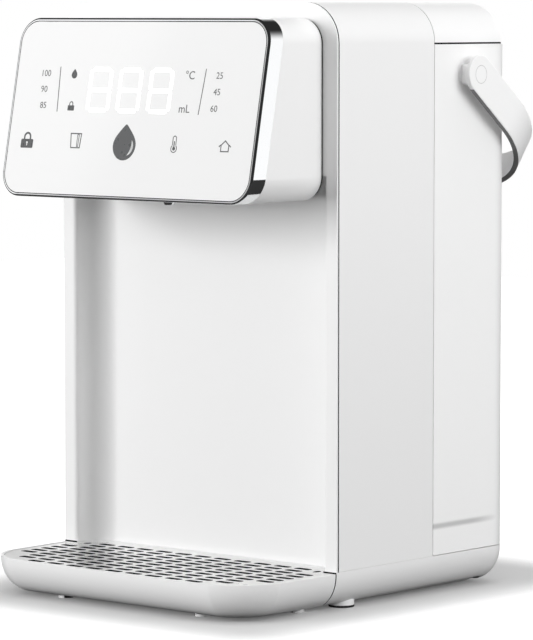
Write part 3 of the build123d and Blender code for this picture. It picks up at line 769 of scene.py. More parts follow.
    def thin_plate(self, point: Vector) -> None:
        """Moves the frame's seam close to its face.

        Args:
            point: A point of the piece, in millimetres, which is moved in place.
        """
        straight_x, straight_z = self.half_width - self.body_corner, self.body_top - self.body_corner
        if abs(point.x) > straight_x and point.z > straight_z:
            inset = self.body_corner - math.hypot(abs(point.x) - straight_x, point.z - straight_z)
        else:
            inset = min(self.half_width - abs(point.x), self.body_top - point.z)
        if abs(point.y - self.face - self.plate) < self.near and inset < self.plate_edge:
            point.y -= self.plate_cut

    def lengthen_shell(self, point: Vector) -> None:
        """Moves the shell's front edge up to the frame's seam."""
        if abs(point.y - self.face - self.plate - self.plate_seam) < self.near:
            point.y -= self.shell_growth

    def slim_nozzle(self, point: Vector) -> None:
        """Makes the nozzle slimmer and moves it down with the head's underside.

        Args:
            point: A point of the piece, in millimetres, which is moved in place.
        """
        point.x *= self.nozzle_share
        point.y = self.nozzle_place + (point.y - self.nozzle_place) * self.nozzle_share
        point.z -= self.nozzle_drop

    def slim_tip(self, point: Vector) -> None:
        """Makes the nozzle's tip slim and short.

        Args:
            point: A point of the piece, in millimetres, which is moved in place.
        """
        point.x *= self.tip_share
        point.y = self.nozzle_place + (point.y - self.nozzle_place) * self.tip_share
        point.z = self.tip_top - self.nozzle_drop - (self.tip_top - point.z) * self.tip_length_share

    def raise_tank(self, point: Vector) -> None:
        """Brings the tank's rim closer to the lid."""
        if point.z > self.rim_start:
            point.z = self.rim_start + (point.z - self.rim_start) * self.rim_growth

    def shrink_boss(self, point: Vector) -> None:
        """Makes the handle's bosses smaller.

        Args:
            point: A point of the piece, in millimetres, which is moved in place.
        """
        back, up = point.y - self.pivot[0], point.z - self.pivot[1]
        outside = abs(point.x) > self.half_width - 2 * self.near
        if outside and math.hypot(back, up) < self.boss_reach:
            point.y = self.pivot[0] + back * self.boss_share
            point.z = self.pivot[1] + up * self.boss_share

    def changes(self, node: str) -> list[Callable[[Vector], None]]:
        """Gives the corrections that a node's copy goes through.

        Args:
            node: The node's name.

        Returns:
            The corrections, in their order.
        """
        return {
            "front_frame": [self.thin_plate],
            "side_shell": [self.lengthen_shell],
            "base_tub": [self.shift_rear_feet, self.lower_base],
            "rubber_feet": [self.shift_rear_feet, self.lower_base],
            "base_screws": [self.lower_base],
            "cord_gland": [self.lower_base],
            "drip_tray": [self.lower_base, self.tuck_tongue, self.round_tray, self.open_joint],
            "head_housing": [self.raise_head, self.tighten_rear],
            "bezel_ring": [self.raise_head],
            "touch_panel": [self.raise_head],
            "nozzle": [self.slim_nozzle],
            "nozzle_tip": [self.slim_tip],
            "tank_shell": [self.raise_tank, self.shrink_boss],
        }.get(node, [])

    def islands(self, shape: bmesh.types.BMesh) -> list[list[bmesh.types.BMFace]]:
        """Gives the upright walls of a plate, joined into rings.

        Args:
            shape: The merged copy of the piece.

        Returns:
            The rings, each with its faces.
        """
        upright = {face for face in shape.faces if abs(face.normal.z) < 0.5}
        rings = []
        while upright:
            ring = [upright.pop()]
            for face in ring:
                near = {other for edge in face.edges for other in edge.link_faces} & upright
                upright -= near
                ring.extend(near)
            rings.append(ring)
        return rings

    def is_slot(self, ring: list[bmesh.types.BMFace]) -> bool:
        """Tells whether a ring of walls is a slot's."""
        across = [vert.co.x for face in ring for vert in face.verts]
        return max(across) - min(across) < self.slot_longest * MM

    def refine_grille(self, shape: bmesh.types.BMesh) -> None:
        """Rounds the grille's outline, widens its slots and fills those that come too near the side.

        Args:
            shape: The merged copy of the piece.
        """
        dropped = []
        for ring in self.islands(shape):
            verts = {vert for face in ring for vert in face.verts}
            points = {vert: vert.co / MM for vert in verts}
            if self.is_slot(ring):
                middle = sum(point.y for point in points.values()) / len(points)
                for point in points.values():
                    point.y = middle + (point.y - middle) * self.slot_growth
                margin = min(self.tray_inset(point, self.round_corner) for point in points.values())
                if margin < self.slot_margin:
                    dropped.append(ring)
            else:
                for point in points.values():
                    self.round_tray(point)
            for vert, point in points.items():
                vert.co = point * MM
        walls = [face for ring in dropped for face in ring]
        bmesh.ops.delete(shape, geom=walls, context="FACES_ONLY")
        bmesh.ops.delete(shape, geom=[edge for edge in shape.edges if not edge.link_faces], context="EDGES")
        open_edges = [edge for edge in shape.edges if len(edge.link_faces) == 1]
        bmesh.ops.holes_fill(shape, edges=open_edges, sides=0)

    def refine(self, node: str, shape: bmesh.types.BMesh) -> None:
        """Brings a node's copy to the photographed form.

        Args:
            node: The CAD node's name.
            shape: The merged copy of its mesh.
        """
        if node == "drip_grille":
            self.refine_grille(shape)
        changes = self.changes(node)
        if changes:
            for vert in shape.verts:
                point = vert.co / MM
                for change in changes:
                    change(point)
                vert.co = point * MM
        shape.normal_update()


@dataclass
class Workshop:
    """What every sub-assembly needs to make and dress its pieces.

    Attributes:
        nodes: The CAD nodes by name.
        slots: The record's slot of each CAD node.
        palette: The finishes that are made so far.
        forms: The corrections of form that each copy goes through.
    """

    nodes: dict[str, bpy.types.Object]
    slots: dict[str, str]
    palette: Palette
    forms: Forms

    def piece(
        self, name: str, shape: bmesh.types.BMesh, finish: Finish, slot: Slot, body: str = BODY
    ) -> bpy.types.Object:
        """Turns a finished bmesh into a piece with its finish and body.

        Args:
            name: The piece's name.
            shape: The shape in the row frame, which is freed.
            finish: The finish of the whole piece.
            slot: The record's slot that it is repainted with; not used.
            body: The CAD body that it moves with.

        Returns:
            The new object.
        """
        mesh = bpy.data.meshes.new(name)
        shape.to_mesh(mesh)
        shape.free()
        mesh.shade_smooth()
        mesh.set_sharp_from_angle(angle=SMOOTH_ANGLE)
        made = add_object(name, mesh)
        mesh.materials.append(self.palette.of(finish))
        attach(made, body)
        LOG.info("%s: %d faces on %s", name, len(mesh.polygons), body)
        return made

    def dress(self, node: str) -> None:
        """Gives a CAD node the finish of its slot.

        Args:
            node: The CAD node's name.
        """
        mesh = self.nodes[node].data
        mesh.materials.clear()
        mesh.materials.append(self.palette.of(FINISHES[Slot(self.slots[node])]))
        LOG.info("%s: dressed", node)

    def merged_copy(self, node: str) -> bmesh.types.BMesh:
        """Copies a CAD node's mesh, merges it and joins its flat faces.

        Args:
            node: The CAD node's name.

        Returns:
            The merged copy.
        """
        shape = bmesh.new()
        shape.from_mesh(self.nodes[node].data)
        bmesh.ops.remove_doubles(shape, verts=shape.verts, dist=MERGE_DISTANCE)
        bmesh.ops.dissolve_limit(
            shape, angle_limit=FLAT_ANGLE, verts=shape.verts, edges=shape.edges, delimit=set()
        )
        self.forms.refine(node, shape)
        return shape

    def softened(
        self,
        node: str,
        radius_mm: float,
        segments: int = 2,
        chosen: Optional[Callable[[Vector], bool]] = None,
    ) -> bpy.types.Object:
        """Stands a copy with rounded creases in for a CAD node.

        Args:
            node: The CAD node's name.
            radius_mm: The radius of the rounded creases.
            segments: The number of flats across a rounded crease.
            chosen: Tells whether a point lies where creases are rounded, or nothing for all creases.

        Returns:
            The rounded piece.
        """
        shape = self.merged_copy(node)
        creases = [
            edge for edge in shape.edges
            if len(edge.link_faces) == 2 and edge.calc_face_angle(0.0) > CREASE_ANGLE
            and (chosen is None or all(chosen(vert.co) for vert in edge.verts))
        ]
        bmesh.ops.bevel(
            shape, geom=creases, offset=radius_mm * MM, offset_type="OFFSET", affect="EDGES",
            segments=segments, profile=0.5, material=-1, clamp_overlap=True, loop_slide=True,
        )
        slot = Slot(self.slots[node])
        body = self.nodes[node]["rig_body"]
        made = self.piece(f"{node}_skin", shape, FINISHES[slot], slot, body)
        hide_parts(node)
        # Large faces rule the shading, so that a flat side stays even up to its rounded edges
        even = made.modifiers.new("even_flats", "WEIGHTED_NORMAL")
        even.keep_sharp = True
        return made


@dataclass
class PanelFace:
    """The sloping face of the touch panel, with its own axes.

    Attributes:
        origin: The middle of the face's top edge.
        across: The direction to the user's right.
        down: The direction down the slope.
        outwards: The direction out of the face.
        near: How far from the face a point still counts as on it, in millimetres.
    """

    origin: Vector
    across: Vector
    down: Vector
    outwards: Vector
    near: float = 0.1

    @classmethod
    def from_bezel(cls, bezel: bmesh.types.BMesh) -> "PanelFace":
        """Finds the face from the front edges of the bezel.

        Args:
            bezel: The shape of the bezel ring.

        Returns:
            The panel's face.
        """
        low = min(vert.co.z for vert in bezel.verts)
        high = max(vert.co.z for vert in bezel.verts)
        edge = 2 * cls.near * MM
        top_y = min(vert.co.y for vert in bezel.verts if vert.co.z > high - edge)
        bottom_y = min(vert.co.y for vert in bezel.verts if vert.co.z < low + edge)
        top = Vector((0.0, top_y, high))
        down = (Vector((0.0, bottom_y, low)) - top).normalized()
        across = Vector((1.0, 0.0, 0.0))
        return cls(top, across, down, down.cross(across))

    def holds(self, point: Vector) -> bool:
        """Tells whether a point lies in the face's plane."""
        return abs((point - self.origin).dot(self.outwards)) < self.near * MM

    def placed(self, right_mm: float, down_mm: float, rise_mm: float = 0.0) -> Matrix:
        """Gives the transform from a flat drawing, Y upwards, to a place on the face.

        Args:
            right_mm: The place's distance right of the middle.
            down_mm: The place's distance down from the top edge.
            rise_mm: The height over the face.

        Returns:
            The transform.
        """
        place = (
            self.origin
            + self.across * (right_mm * MM)
            + self.down * (down_mm * MM)
            + self.outwards * (rise_mm * MM)
        )
        axes = Matrix((self.across, -self.down, self.outwards)).transposed()
        return Matrix.Translation(place) @ axes.to_4x4()


class Drawing:
    """Flat printed shapes in millimetres, Y upwards, which are given a thickness of ink."""

    def __init__(self) -> None:
        """Starts an empty drawing."""
        self.shape = bmesh.new()

    def add_disc(self, x: float, y: float, radius: float, segments: int = 32) -> list[bmesh.types.BMVert]:
        """Adds a filled circle and gives its corners.

        Args:
            x: The middle's place across.
            y: The middle's place upwards.
            radius: The radius.
            segments: The number of flats round it.

        Returns:
            The circle's corners.
        """
        place = Matrix.Translation((x, y, 0))
        made = bmesh.ops.create_circle(
            self.shape, cap_ends=True, radius=radius, segments=segments, matrix=place
        )
        return made["verts"]

    def add_bar(
        self, x: float, y: float, width: float, height: float, corner: float = 0.0, turn: float = 0.0
    ) -> list[bmesh.types.BMVert]:
        """Adds a filled bar, with its corners cut round, turned about its middle.

        Args:
            x: The middle's place across.
            y: The middle's place upwards.
            width: The width.
            height: The height.
            corner: The radius of the corners.
            turn: The turn against the clock, in radians.

        Returns:
            The bar's corners.
        """
        place = Matrix.Translation((x, y, 0)) @ Matrix.Rotation(turn, 4, "Z")
        sized = place @ Matrix.Diagonal((width / 2, height / 2, 1, 1))
        made = bmesh.ops.create_grid(self.shape, x_segments=1, y_segments=1, size=1.0, matrix=sized)
        verts = made["verts"]
        if corner > 0:
            rounded = bmesh.ops.bevel(
                self.shape, geom=verts, offset=corner, offset_type="OFFSET", affect="VERTICES",
                segments=4, profile=0.5, material=-1,
            )
            verts = rounded["verts"]
        return verts

    def add_plate(self, corners: Sequence[tuple[float, float]]) -> bmesh.types.BMFace:
        """Adds a filled shape with a few corners and gives its face."""
        verts = [self.shape.verts.new((x, y, 0.0)) for x, y in corners]
        return self.shape.faces.new(verts)

    def hollow(self, face: bmesh.types.BMFace, line: float) -> None:
        """Leaves only an even line along a filled shape's edge.

        Args:
            face: The filled shape.
            line: The width of the line.
        """
        face.normal_update()
        bmesh.ops.inset_individual(self.shape, faces=[face], thickness=line, use_even_offset=True)
        bmesh.ops.delete(self.shape, geom=[face], context="FACES")

    def add_arc(
        self, x: float, y: float, inner: float, outer: float, start: float, sweep: float, steps: int = 16
    ) -> None:
        """Adds a band along an arc.

        Args:
            x: The centre's place across.
            y: The centre's place upwards.
            inner: The inner radius.
            outer: The outer radius.
            start: The angle that the arc starts at, in radians.
            sweep: The angle that it sweeps, in radians.
            steps: The number of flats along it.
        """
        ends = [
            self.shape.verts.new((x + radius * math.cos(start), y + radius * math.sin(start), 0.0))
            for radius in (inner, outer)
        ]
        edge = self.shape.edges.new(ends)
        bmesh.ops.spin(
            self.shape, geom=[*ends, edge], cent=(x, y, 0), axis=(0, 0, 1), angle=sweep, steps=steps,
            use_merge=abs(sweep) >= 2 * math.pi,
        )

    def add_drop(
        self, x: float, y: float, width: float, height: float, segments: int = 48
    ) -> bmesh.types.BMFace:
        """Adds a filled drop with its point upwards.

        Args:
            x: The middle's place across.
            y: The middle's place upwards.
            width: The width.
            height: The height from the bottom to the point.
            segments: The number of flats round it.

        Returns:
            The drop's face.
        """
        narrowing, shoulder, hollow = 0.42, 0.72, 0.1
        radius = width / 2
        verts = self.add_disc(x, y, radius, segments)
        centre = y - height / 2 + radius
        for vert in verts:
            rise = (vert.co.y - y) / radius
            side = (vert.co.x - x) / radius
            if rise > 0:
                vert.co.x = x + radius * side * (1 - narrowing * rise * rise)
                share = 1 - (1 - rise) ** shoulder * (1 - hollow * rise)
                vert.co.y = centre + (height - radius) * share
            else:
                vert.co.y = centre + radius * rise
        return verts[0].link_faces[0]

    def solid(self, thickness_mm: float, place: Matrix) -> bmesh.types.BMesh:
        """Gives the drawing its thickness and puts it in its place.

        Args:
            thickness_mm: The thickness of the ink.
            place: The transform from the flat drawing in metres to the row frame.

        Returns:
            The solid shape.
        """
        shape = self.shape
        bmesh.ops.remove_doubles(shape, verts=shape.verts, dist=0.001)
        bmesh.ops.recalc_face_normals(shape, faces=list(shape.faces))
        for face in shape.faces:
            if face.normal.z < 0:
                face.normal_flip()
        grown = bmesh.ops.extrude_face_region(shape, geom=list(shape.faces), use_keep_orig=True)
        bmesh.ops.translate(shape, verts=corners_of(grown), vec=(0, 0, thickness_mm))
        bmesh.ops.recalc_face_normals(shape, faces=shape.faces)
        bmesh.ops.transform(shape, verts=shape.verts, matrix=place @ Matrix.Scale(MM, 4))
        return shape


class Icon(Enum):
    """The plain signs on the panel."""

    SMALL_DROP = "small_drop_sign"
    SMALL_LOCK = "small_lock_sign"
    LOCK = "lock_sign"
    KEYHOLE = "keyhole_mark"
    BEAKER = "beaker_sign"
    DROP = "drop_sign"
    CRESCENT = "drop_crescent"
    THERMOMETER = "thermometer_sign"
    HOUSE = "house_sign"


@dataclass
class PanelPrint:
    """The print and the lit windows of the touch panel, in millimetres on its face.

    Attributes:
        shop: What makes and dresses the pieces.
        face: The panel's face.
        ink: The thickness of the print.
        line: The width of a drawn line.
        digit_width: The width of a digit.
        digit_height: The height of a digit.
        digit_stroke: The width of a digit's bars.
        digit_gap: The gap between two bars.
        digit_corner: The radius of a bar's corners, as a share of its width.
        digit_top: The distance from the top edge to the digits.
        digit_places: The places of the digits right of the middle.
        divider_line: The width of the two dividing lines.
        number_height: The height of the printed numbers.
        unit_height: The height of the printed units.
        letter_share: The height of a capital letter, as a share of the font's size.
    """

    shop: Workshop
    face: PanelFace
    ink: float = 0.04
    line: float = 0.6
    digit_width: float = 16.6
    digit_height: float = 24.0
    digit_stroke: float = 2.3
    digit_gap: float = 1.0
    digit_corner: float = 0.42
    digit_top: float = 26.2
    digit_places: tuple[float, ...] = (-24.8, -3.6, 18.0)
    divider_line: float = 0.5
    number_height: float = 3.4
    unit_height: float = 4.3
    letter_share: float = 0.7

    def put(
        self, name: str, drawing: Drawing, right: float, down: float, finish: Finish = GREY_INK
    ) -> None:
        """Lays a drawing on the panel's face.

        Args:
            name: The piece's name.
            drawing: The flat drawing.
            right: Its place right of the middle.
            down: Its place down from the top edge.
            finish: The ink.
        """
        shape = drawing.solid(self.ink, self.face.placed(right, down, -self.ink / 2))
        self.shop.piece(name, shape, finish, Slot.GLASS)

    def add_digits(self) -> None:
        """Adds the three lit digits, each of seven bars."""
        half_width = (self.digit_width - self.digit_stroke) / 2
        half_height = (self.digit_height - self.digit_stroke) / 2
        across = self.digit_width - 2 * self.digit_stroke - 2 * self.digit_gap
        upright = half_height - self.digit_stroke - self.digit_gap / 2
        corner = self.digit_stroke * self.digit_corner
        for number, right in enumerate(self.digit_places, start=1):
            drawing = Drawing()
            for level in (-1, 0, 1):
                drawing.add_bar(
                    0, level * half_height, across + self.digit_stroke, self.digit_stroke, corner
                )
            for side in (-1, 1):
                for level in (-1, 1):
                    drawing.add_bar(
                        side * half_width, level * half_height / 2, self.digit_stroke,
                        upright + self.digit_stroke, corner,
                    )
            down = self.digit_top + self.digit_height / 2
            self.put(f"lit_digit_{number}", drawing, right, down, LIT_INK)

    def add_dividers(self) -> None:
        """Adds the two slanted lines beside the display."""
        top, bottom = self.digit_top, self.digit_top + self.digit_height
        for name, upper, lower in (("divider_left", -54.9, -53.6), ("divider_right", 48.0, 46.2)):
            drawing = Drawing()
            lean = math.atan2(lower - upper, bottom - top)
            drawing.add_bar(0, 0, self.divider_line, bottom - top, turn=lean)
            self.put(name, drawing, (upper + lower) / 2, (top + bottom) / 2)

    def add_text(self, name: str, words: str, right: float, down: float, height: float) -> None:
        """Adds a printed unit or number.

        Args:
            name: The piece's name.
            words: The characters.
            right: The middle's place right of the panel's middle.
            down: The middle's place down from the top edge.
            height: The height of the characters.
        """
        curve = bpy.data.curves.new(name, "FONT")
        curve.body = words
        curve.align_x = "CENTER"
        curve.align_y = "CENTER"
        curve.size = height / self.letter_share
        curve.resolution_u = 3
        holder = add_object(name, curve)
        bpy.context.view_layer.update()
        flat = holder.evaluated_get(bpy.context.evaluated_depsgraph_get()).to_mesh()
        drawing = Drawing()
        drawing.shape.from_mesh(flat)
        bpy.data.objects.remove(holder)
        self.put(name, drawing, right, down)

    def drop(self, width: float, height: float) -> Drawing:
        """Draws a drop.

        Args:
            width: The width.
            height: The height.

        Returns:
            The drawing.
        """
        drawing = Drawing()
        drawing.add_drop(0, 0, width, height)
        return drawing

    def lock(self, width: float, height: float) -> Drawing:
        """Draws a padlock, with a body, a bow and two posts.

        Args:
            width: The width.
            height: The height.

        Returns:
            The drawing.
        """
        drawing = Drawing()
        body, bow, post_width = height * 0.56, width * 0.3, width * 0.12
        base = -height / 2 + body / 2
        drawing.add_bar(0, base, width, body, width * 0.08)
        shackle = height / 2 - bow
        drawing.add_arc(0, shackle, bow - post_width, bow, 0, math.pi)
        for side in (-1, 1):
            post = shackle - (base + body / 2)
            drawing.add_bar(side * (bow - post_width / 2), base + body / 2 + post / 2, post_width, post)
        return drawing

    def keyhole(self) -> Drawing:
        """Draws a keyhole.

        Returns:
            The drawing.
        """
        drawing = Drawing()
        drawing.add_disc(0, 0.3, 0.62, 20)
        drawing.add_bar(0, -0.5, 0.55, 1.5)
        return drawing

    def beaker(self) -> Drawing:
        """Draws a beaker with a scale at its side.

        Returns:
            The drawing.
        """
        drawing = Drawing()
        outline = drawing.add_plate(((-3.2, -4.0), (3.6, -4.0), (4.1, 4.1), (-4.1, 4.1)))
        drawing.hollow(outline, self.line)
        scale = drawing.add_plate(((0.9, -3.2), (2.2, -3.2), (2.5, 3.4), (0.9, 3.4)))
        drawing.hollow(scale, self.line * 0.75)
        return drawing

    def crescent(self) -> Drawing:
        """Draws the crescent of light in the lower right of a drop.

        Returns:
            The drawing.
        """
        drawing = Drawing()
        discs, start, sweep = 14, -62, 88
        for disc in range(discs):
            share = disc / (discs - 1)
            angle = math.radians(start + sweep * share)
            swell = 0.2 + 0.85 * math.sin(math.pi * share)
            drawing.add_disc(5.6 * math.cos(angle), -1.5 + 5.9 * math.sin(angle), swell * 0.75, 16)
        return drawing

    def thermometer(self) -> Drawing:
        """Draws a thermometer, with a bulb, a tube and its column.

        Returns:
            The drawing.
        """
        drawing = Drawing()
        bulb = -2.3
        drawing.add_arc(0, bulb, 1.7, 2.2, math.radians(125), math.radians(290))
        drawing.add_arc(0, 3.1, 0.9, 1.4, 0, math.pi)
        for side in (-1, 1):
            drawing.add_bar(side * 1.15, 1.4, 0.5, 3.7)
        drawing.add_disc(0, bulb, 1.0)
        drawing.add_bar(0, -0.2, 0.7, 3.6)
        return drawing

    def house(self) -> Drawing:
        """Draws a house with eaves.

        Returns:
            The drawing.
        """
        drawing = Drawing()
        walls = drawing.add_plate(((-2.9, -3.1), (2.9, -3.1), (2.9, 0.6), (0.0, 3.1), (-2.9, 0.6)))
        drawing.hollow(walls, self.line)
        for side in (-1, 1):
            drawing.add_bar(side * 3.4, 0.1, 1.6, self.line, turn=-side * math.radians(40))
        return drawing

    def add_icons(self) -> None:
        """Adds the plain signs of the panel, each at its place right of the middle and down."""
        for put, icon, drawing, right, down in (
            (self.put, Icon.SMALL_DROP, self.drop(4.0, 5.0), -44.3, 29.9),
            (self.put, Icon.SMALL_LOCK, self.lock(4.6, 5.0), -43.9, 47.0),
            (self.put, Icon.LOCK, self.lock(8.8, 8.6), -72.6, 65.7),
            (self.put_light, Icon.KEYHOLE, self.keyhole(), -72.6, 67.4),
            (self.put, Icon.BEAKER, self.beaker(), -37.4, 65.4),
            (self.put, Icon.DROP, self.drop(16.0, 19.0), -2.3, 65.5),
            (self.put_light, Icon.CRESCENT, self.crescent(), -2.3, 65.5),
            (self.put, Icon.THERMOMETER, self.thermometer(), 32.4, 65.7),
            (self.put, Icon.HOUSE, self.house(), 67.1, 65.9),
        ):
            put(icon.value, drawing, right, down)

    def put_light(self, name: str, drawing: Drawing, right: float, down: float) -> None:
        """Lays a light mark over a grey one."""
        shape = drawing.solid(self.ink, self.face.placed(right, down, self.ink / 4))
        self.shop.piece(name, shape, FINISHES[Slot.GLASS], Slot.GLASS)

    def add_numbers(self) -> None:
        """Adds the units of the display and the numbers beside the dividing lines."""
        self.add_text("unit_degrees", "°C", 37.4, 30.0, self.unit_height)
        self.add_text("unit_volume", "mL", 36.1, 47.4, self.unit_height)
        left = (("100", -65.0, 29.9), ("90", -65.0, 38.4), ("85", -64.2, 47.0))
        right = (("25", 57.6, 29.9), ("45", 57.1, 38.4), ("60", 56.4, 47.0))
        for words, place, down in (*left, *right):
            self.add_text(f"number_{words}", words, place, down, self.number_height)

    def build(self) -> None:
        """Builds all the print."""
        self.add_digits()
        self.add_dividers()
        self.add_numbers()
        self.add_icons()


@dataclass
class Shell:
    """The skins of the body, head, tank and tray, with their edges rounded as moulded.

    Attributes:
        shop: What makes and dresses the pieces.
        panel: The panel's face.
        moulded_edge: The radius of a moulded outer edge, in millimetres.
        bezel_edge: The radius of the chrome ring's outer front edge.
        bezel_rim: How far in from the head's outline a point still counts as on that edge.
        sheet_edge: The radius of an edge on thin metal and glass.
        strap_edge: The radius of the handle's long edges.
        moulded: The nodes with moulded edges.
        thin: The nodes of thin metal and glass.
    """

    shop: Workshop
    panel: PanelFace
    moulded_edge: float = 0.25
    bezel_edge: float = 1.2
    bezel_rim: float = 0.7
    sheet_edge: float = 0.2
    strap_edge: float = 0.7
    moulded: tuple[str, ...] = (
        "front_frame", "side_shell", "base_tub", "head_housing", "drip_tray", "tank_lid",
        "tank_shell", "rubber_feet", "cord_gland",
    )
    thin: tuple[str, ...] = ("touch_panel", "nozzle", "nozzle_tip")

    def build(self) -> None:
        """Builds each outer skin."""
        for node in self.moulded:
            self.shop.softened(node, self.moulded_edge)
        self.shop.softened("carry_handle", self.strap_edge, 3)
        self.shop.softened("bezel_ring", self.bezel_edge, 4, self.on_rim)
        for node in self.thin:
            self.shop.softened(node, self.sheet_edge)
        self.shop.softened("drip_grille", self.sheet_edge, 1)

    def on_rim(self, point: Vector) -> bool:
        """Tells whether a point lies on the chrome ring's outer front edge.

        Args:
            point: A point of the ring, in metres.

        Returns:
            Whether it lies there.
        """
        forms = self.shop.forms
        middle = (forms.head_top + forms.head_low()) / 2
        across = max(abs(point.x) / MM - forms.head_side + forms.head_corner, 0.0)
        up = max(abs(point.z / MM - middle) - forms.head_top + middle + forms.head_corner, 0.0)
        return self.panel.holds(point) and math.hypot(across, up) > forms.head_corner - self.bezel_rim


@dataclass
class GlassSeam:
    """The dark seam of foam round the glass, inside the chrome ring.

    Attributes:
        shop: What makes and dresses the pieces.
        panel: The panel's face.
        width: The width of the seam, in millimetres.
        height: Its height over the glass.
    """

    shop: Workshop
    panel: PanelFace
    width: float = 0.35
    height: float = 0.05

    def build(self) -> None:
        """Builds the seam from the outline of the glass."""
        shape = self.shop.merged_copy("touch_panel")
        rest = [
            face for face in shape.faces if not all(self.panel.holds(vert.co) for vert in face.verts)
        ]
        bmesh.ops.delete(shape, geom=rest, context="FACES")
        front = list(shape.faces)
        bmesh.ops.inset_region(
            shape, faces=front, use_boundary=True, use_even_offset=True,
            thickness=self.width * MM, depth=0.0,
        )
        bmesh.ops.delete(shape, geom=front, context="FACES")
        grown = bmesh.ops.extrude_face_region(shape, geom=list(shape.faces))
        rise = self.panel.outwards * (self.height * MM)
        bmesh.ops.translate(shape, verts=corners_of(grown), vec=rise)
        bmesh.ops.recalc_face_normals(shape, faces=shape.faces)
        self.shop.piece("glass_seam", shape, FOAM_AND_GAP_SHADE, Slot.RUBBER)


@dataclass
class ValveSpring:
    """The coil over the valve's poppet.

    Attributes:
        shop: What makes and dresses the pieces.
        poppet: The body under the coil; not used.
        tank: The body over it.
    """

    shop: Workshop
    poppet: str = "poppet"
    tank: str = "tank"

    def build(self) -> None:
        """Builds the coil in its place on the tank's body, then frees it from that body where it stands."""
        shape = self.shop.merged_copy("valve_spring")
        slot = Slot(self.shop.slots["valve_spring"])
        coil = self.shop.piece("valve_spring_coil", shape, FINISHES[slot], slot, self.tank)
        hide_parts("valve_spring")
        coil.parent = None
        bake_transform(coil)


@dataclass
class Screws:
    """The screws under the base, with their cross recesses.

    Attributes:
        shop: What makes and dresses the pieces.
        arm: The length of a recess's arm from the middle, in millimetres.
        width: The width of an arm.
        depth: The depth of the recess.
        apart: The least distance between two screws.
    """

    shop: Workshop
    arm: float = 1.7
    width: float = 0.7
    depth: float = 1.0
    apart: float = 10.0

    def centres(self, shape: bmesh.types.BMesh) -> list[Vector]:
        """Finds the middle of each screw head's underside.

        Args:
            shape: The merged copy of the screws.

        Returns:
            The middles.
        """
        bottom = min(vert.co.z for vert in shape.verts)
        rims = [vert for vert in shape.verts if vert.co.z < bottom + LEVEL_MARGIN]
        reach = self.apart * MM
        found: list[Vector] = []
        for vert in rims:
            if not any((vert.co - centre).length < reach for centre in found):
                near = [other.co for other in rims if (other.co - vert.co).length < reach]
                found.append(sum(near, Vector()) / len(near))
        return found

    def build(self) -> None:
        """Builds the screws and cuts their recesses."""
        shape = self.shop.merged_copy("base_screws")
        centres = self.centres(shape)
        made = self.shop.piece("base_screws_slotted", shape, FINISHES[Slot.ZINC], Slot.ZINC)
        cutter = bmesh.new()
        for centre in centres:
            for turn in (0.0, math.pi / 2):
                place = Matrix.Translation(centre) @ Matrix.Rotation(turn, 4, "Z")
                size = Matrix.Diagonal((2 * self.arm * MM, self.width * MM, 2 * self.depth * MM, 1))
                bmesh.ops.create_cube(cutter, size=1.0, matrix=place @ size)
        mesh = bpy.data.meshes.new("recess_cutter")
        cutter.to_mesh(mesh)
        cutter.free()
        tool = add_object("recess_cutter", mesh)
        cut = made.modifiers.new("cross_recess", "BOOLEAN")
        cut.operation = "DIFFERENCE"
        cut.solver = "EXACT"
        cut.use_self = True
        cut.object = tool
        bpy.context.view_layer.update()
        graph = bpy.context.evaluated_depsgraph_get()
        finished = bpy.data.meshes.new_from_object(made.evaluated_get(graph))
        made.modifiers.clear()
        made.data = finished
        bpy.data.objects.remove(tool)
        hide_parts("base_screws")
        LOG.info("base_screws_slotted: %d recesses", len(centres))


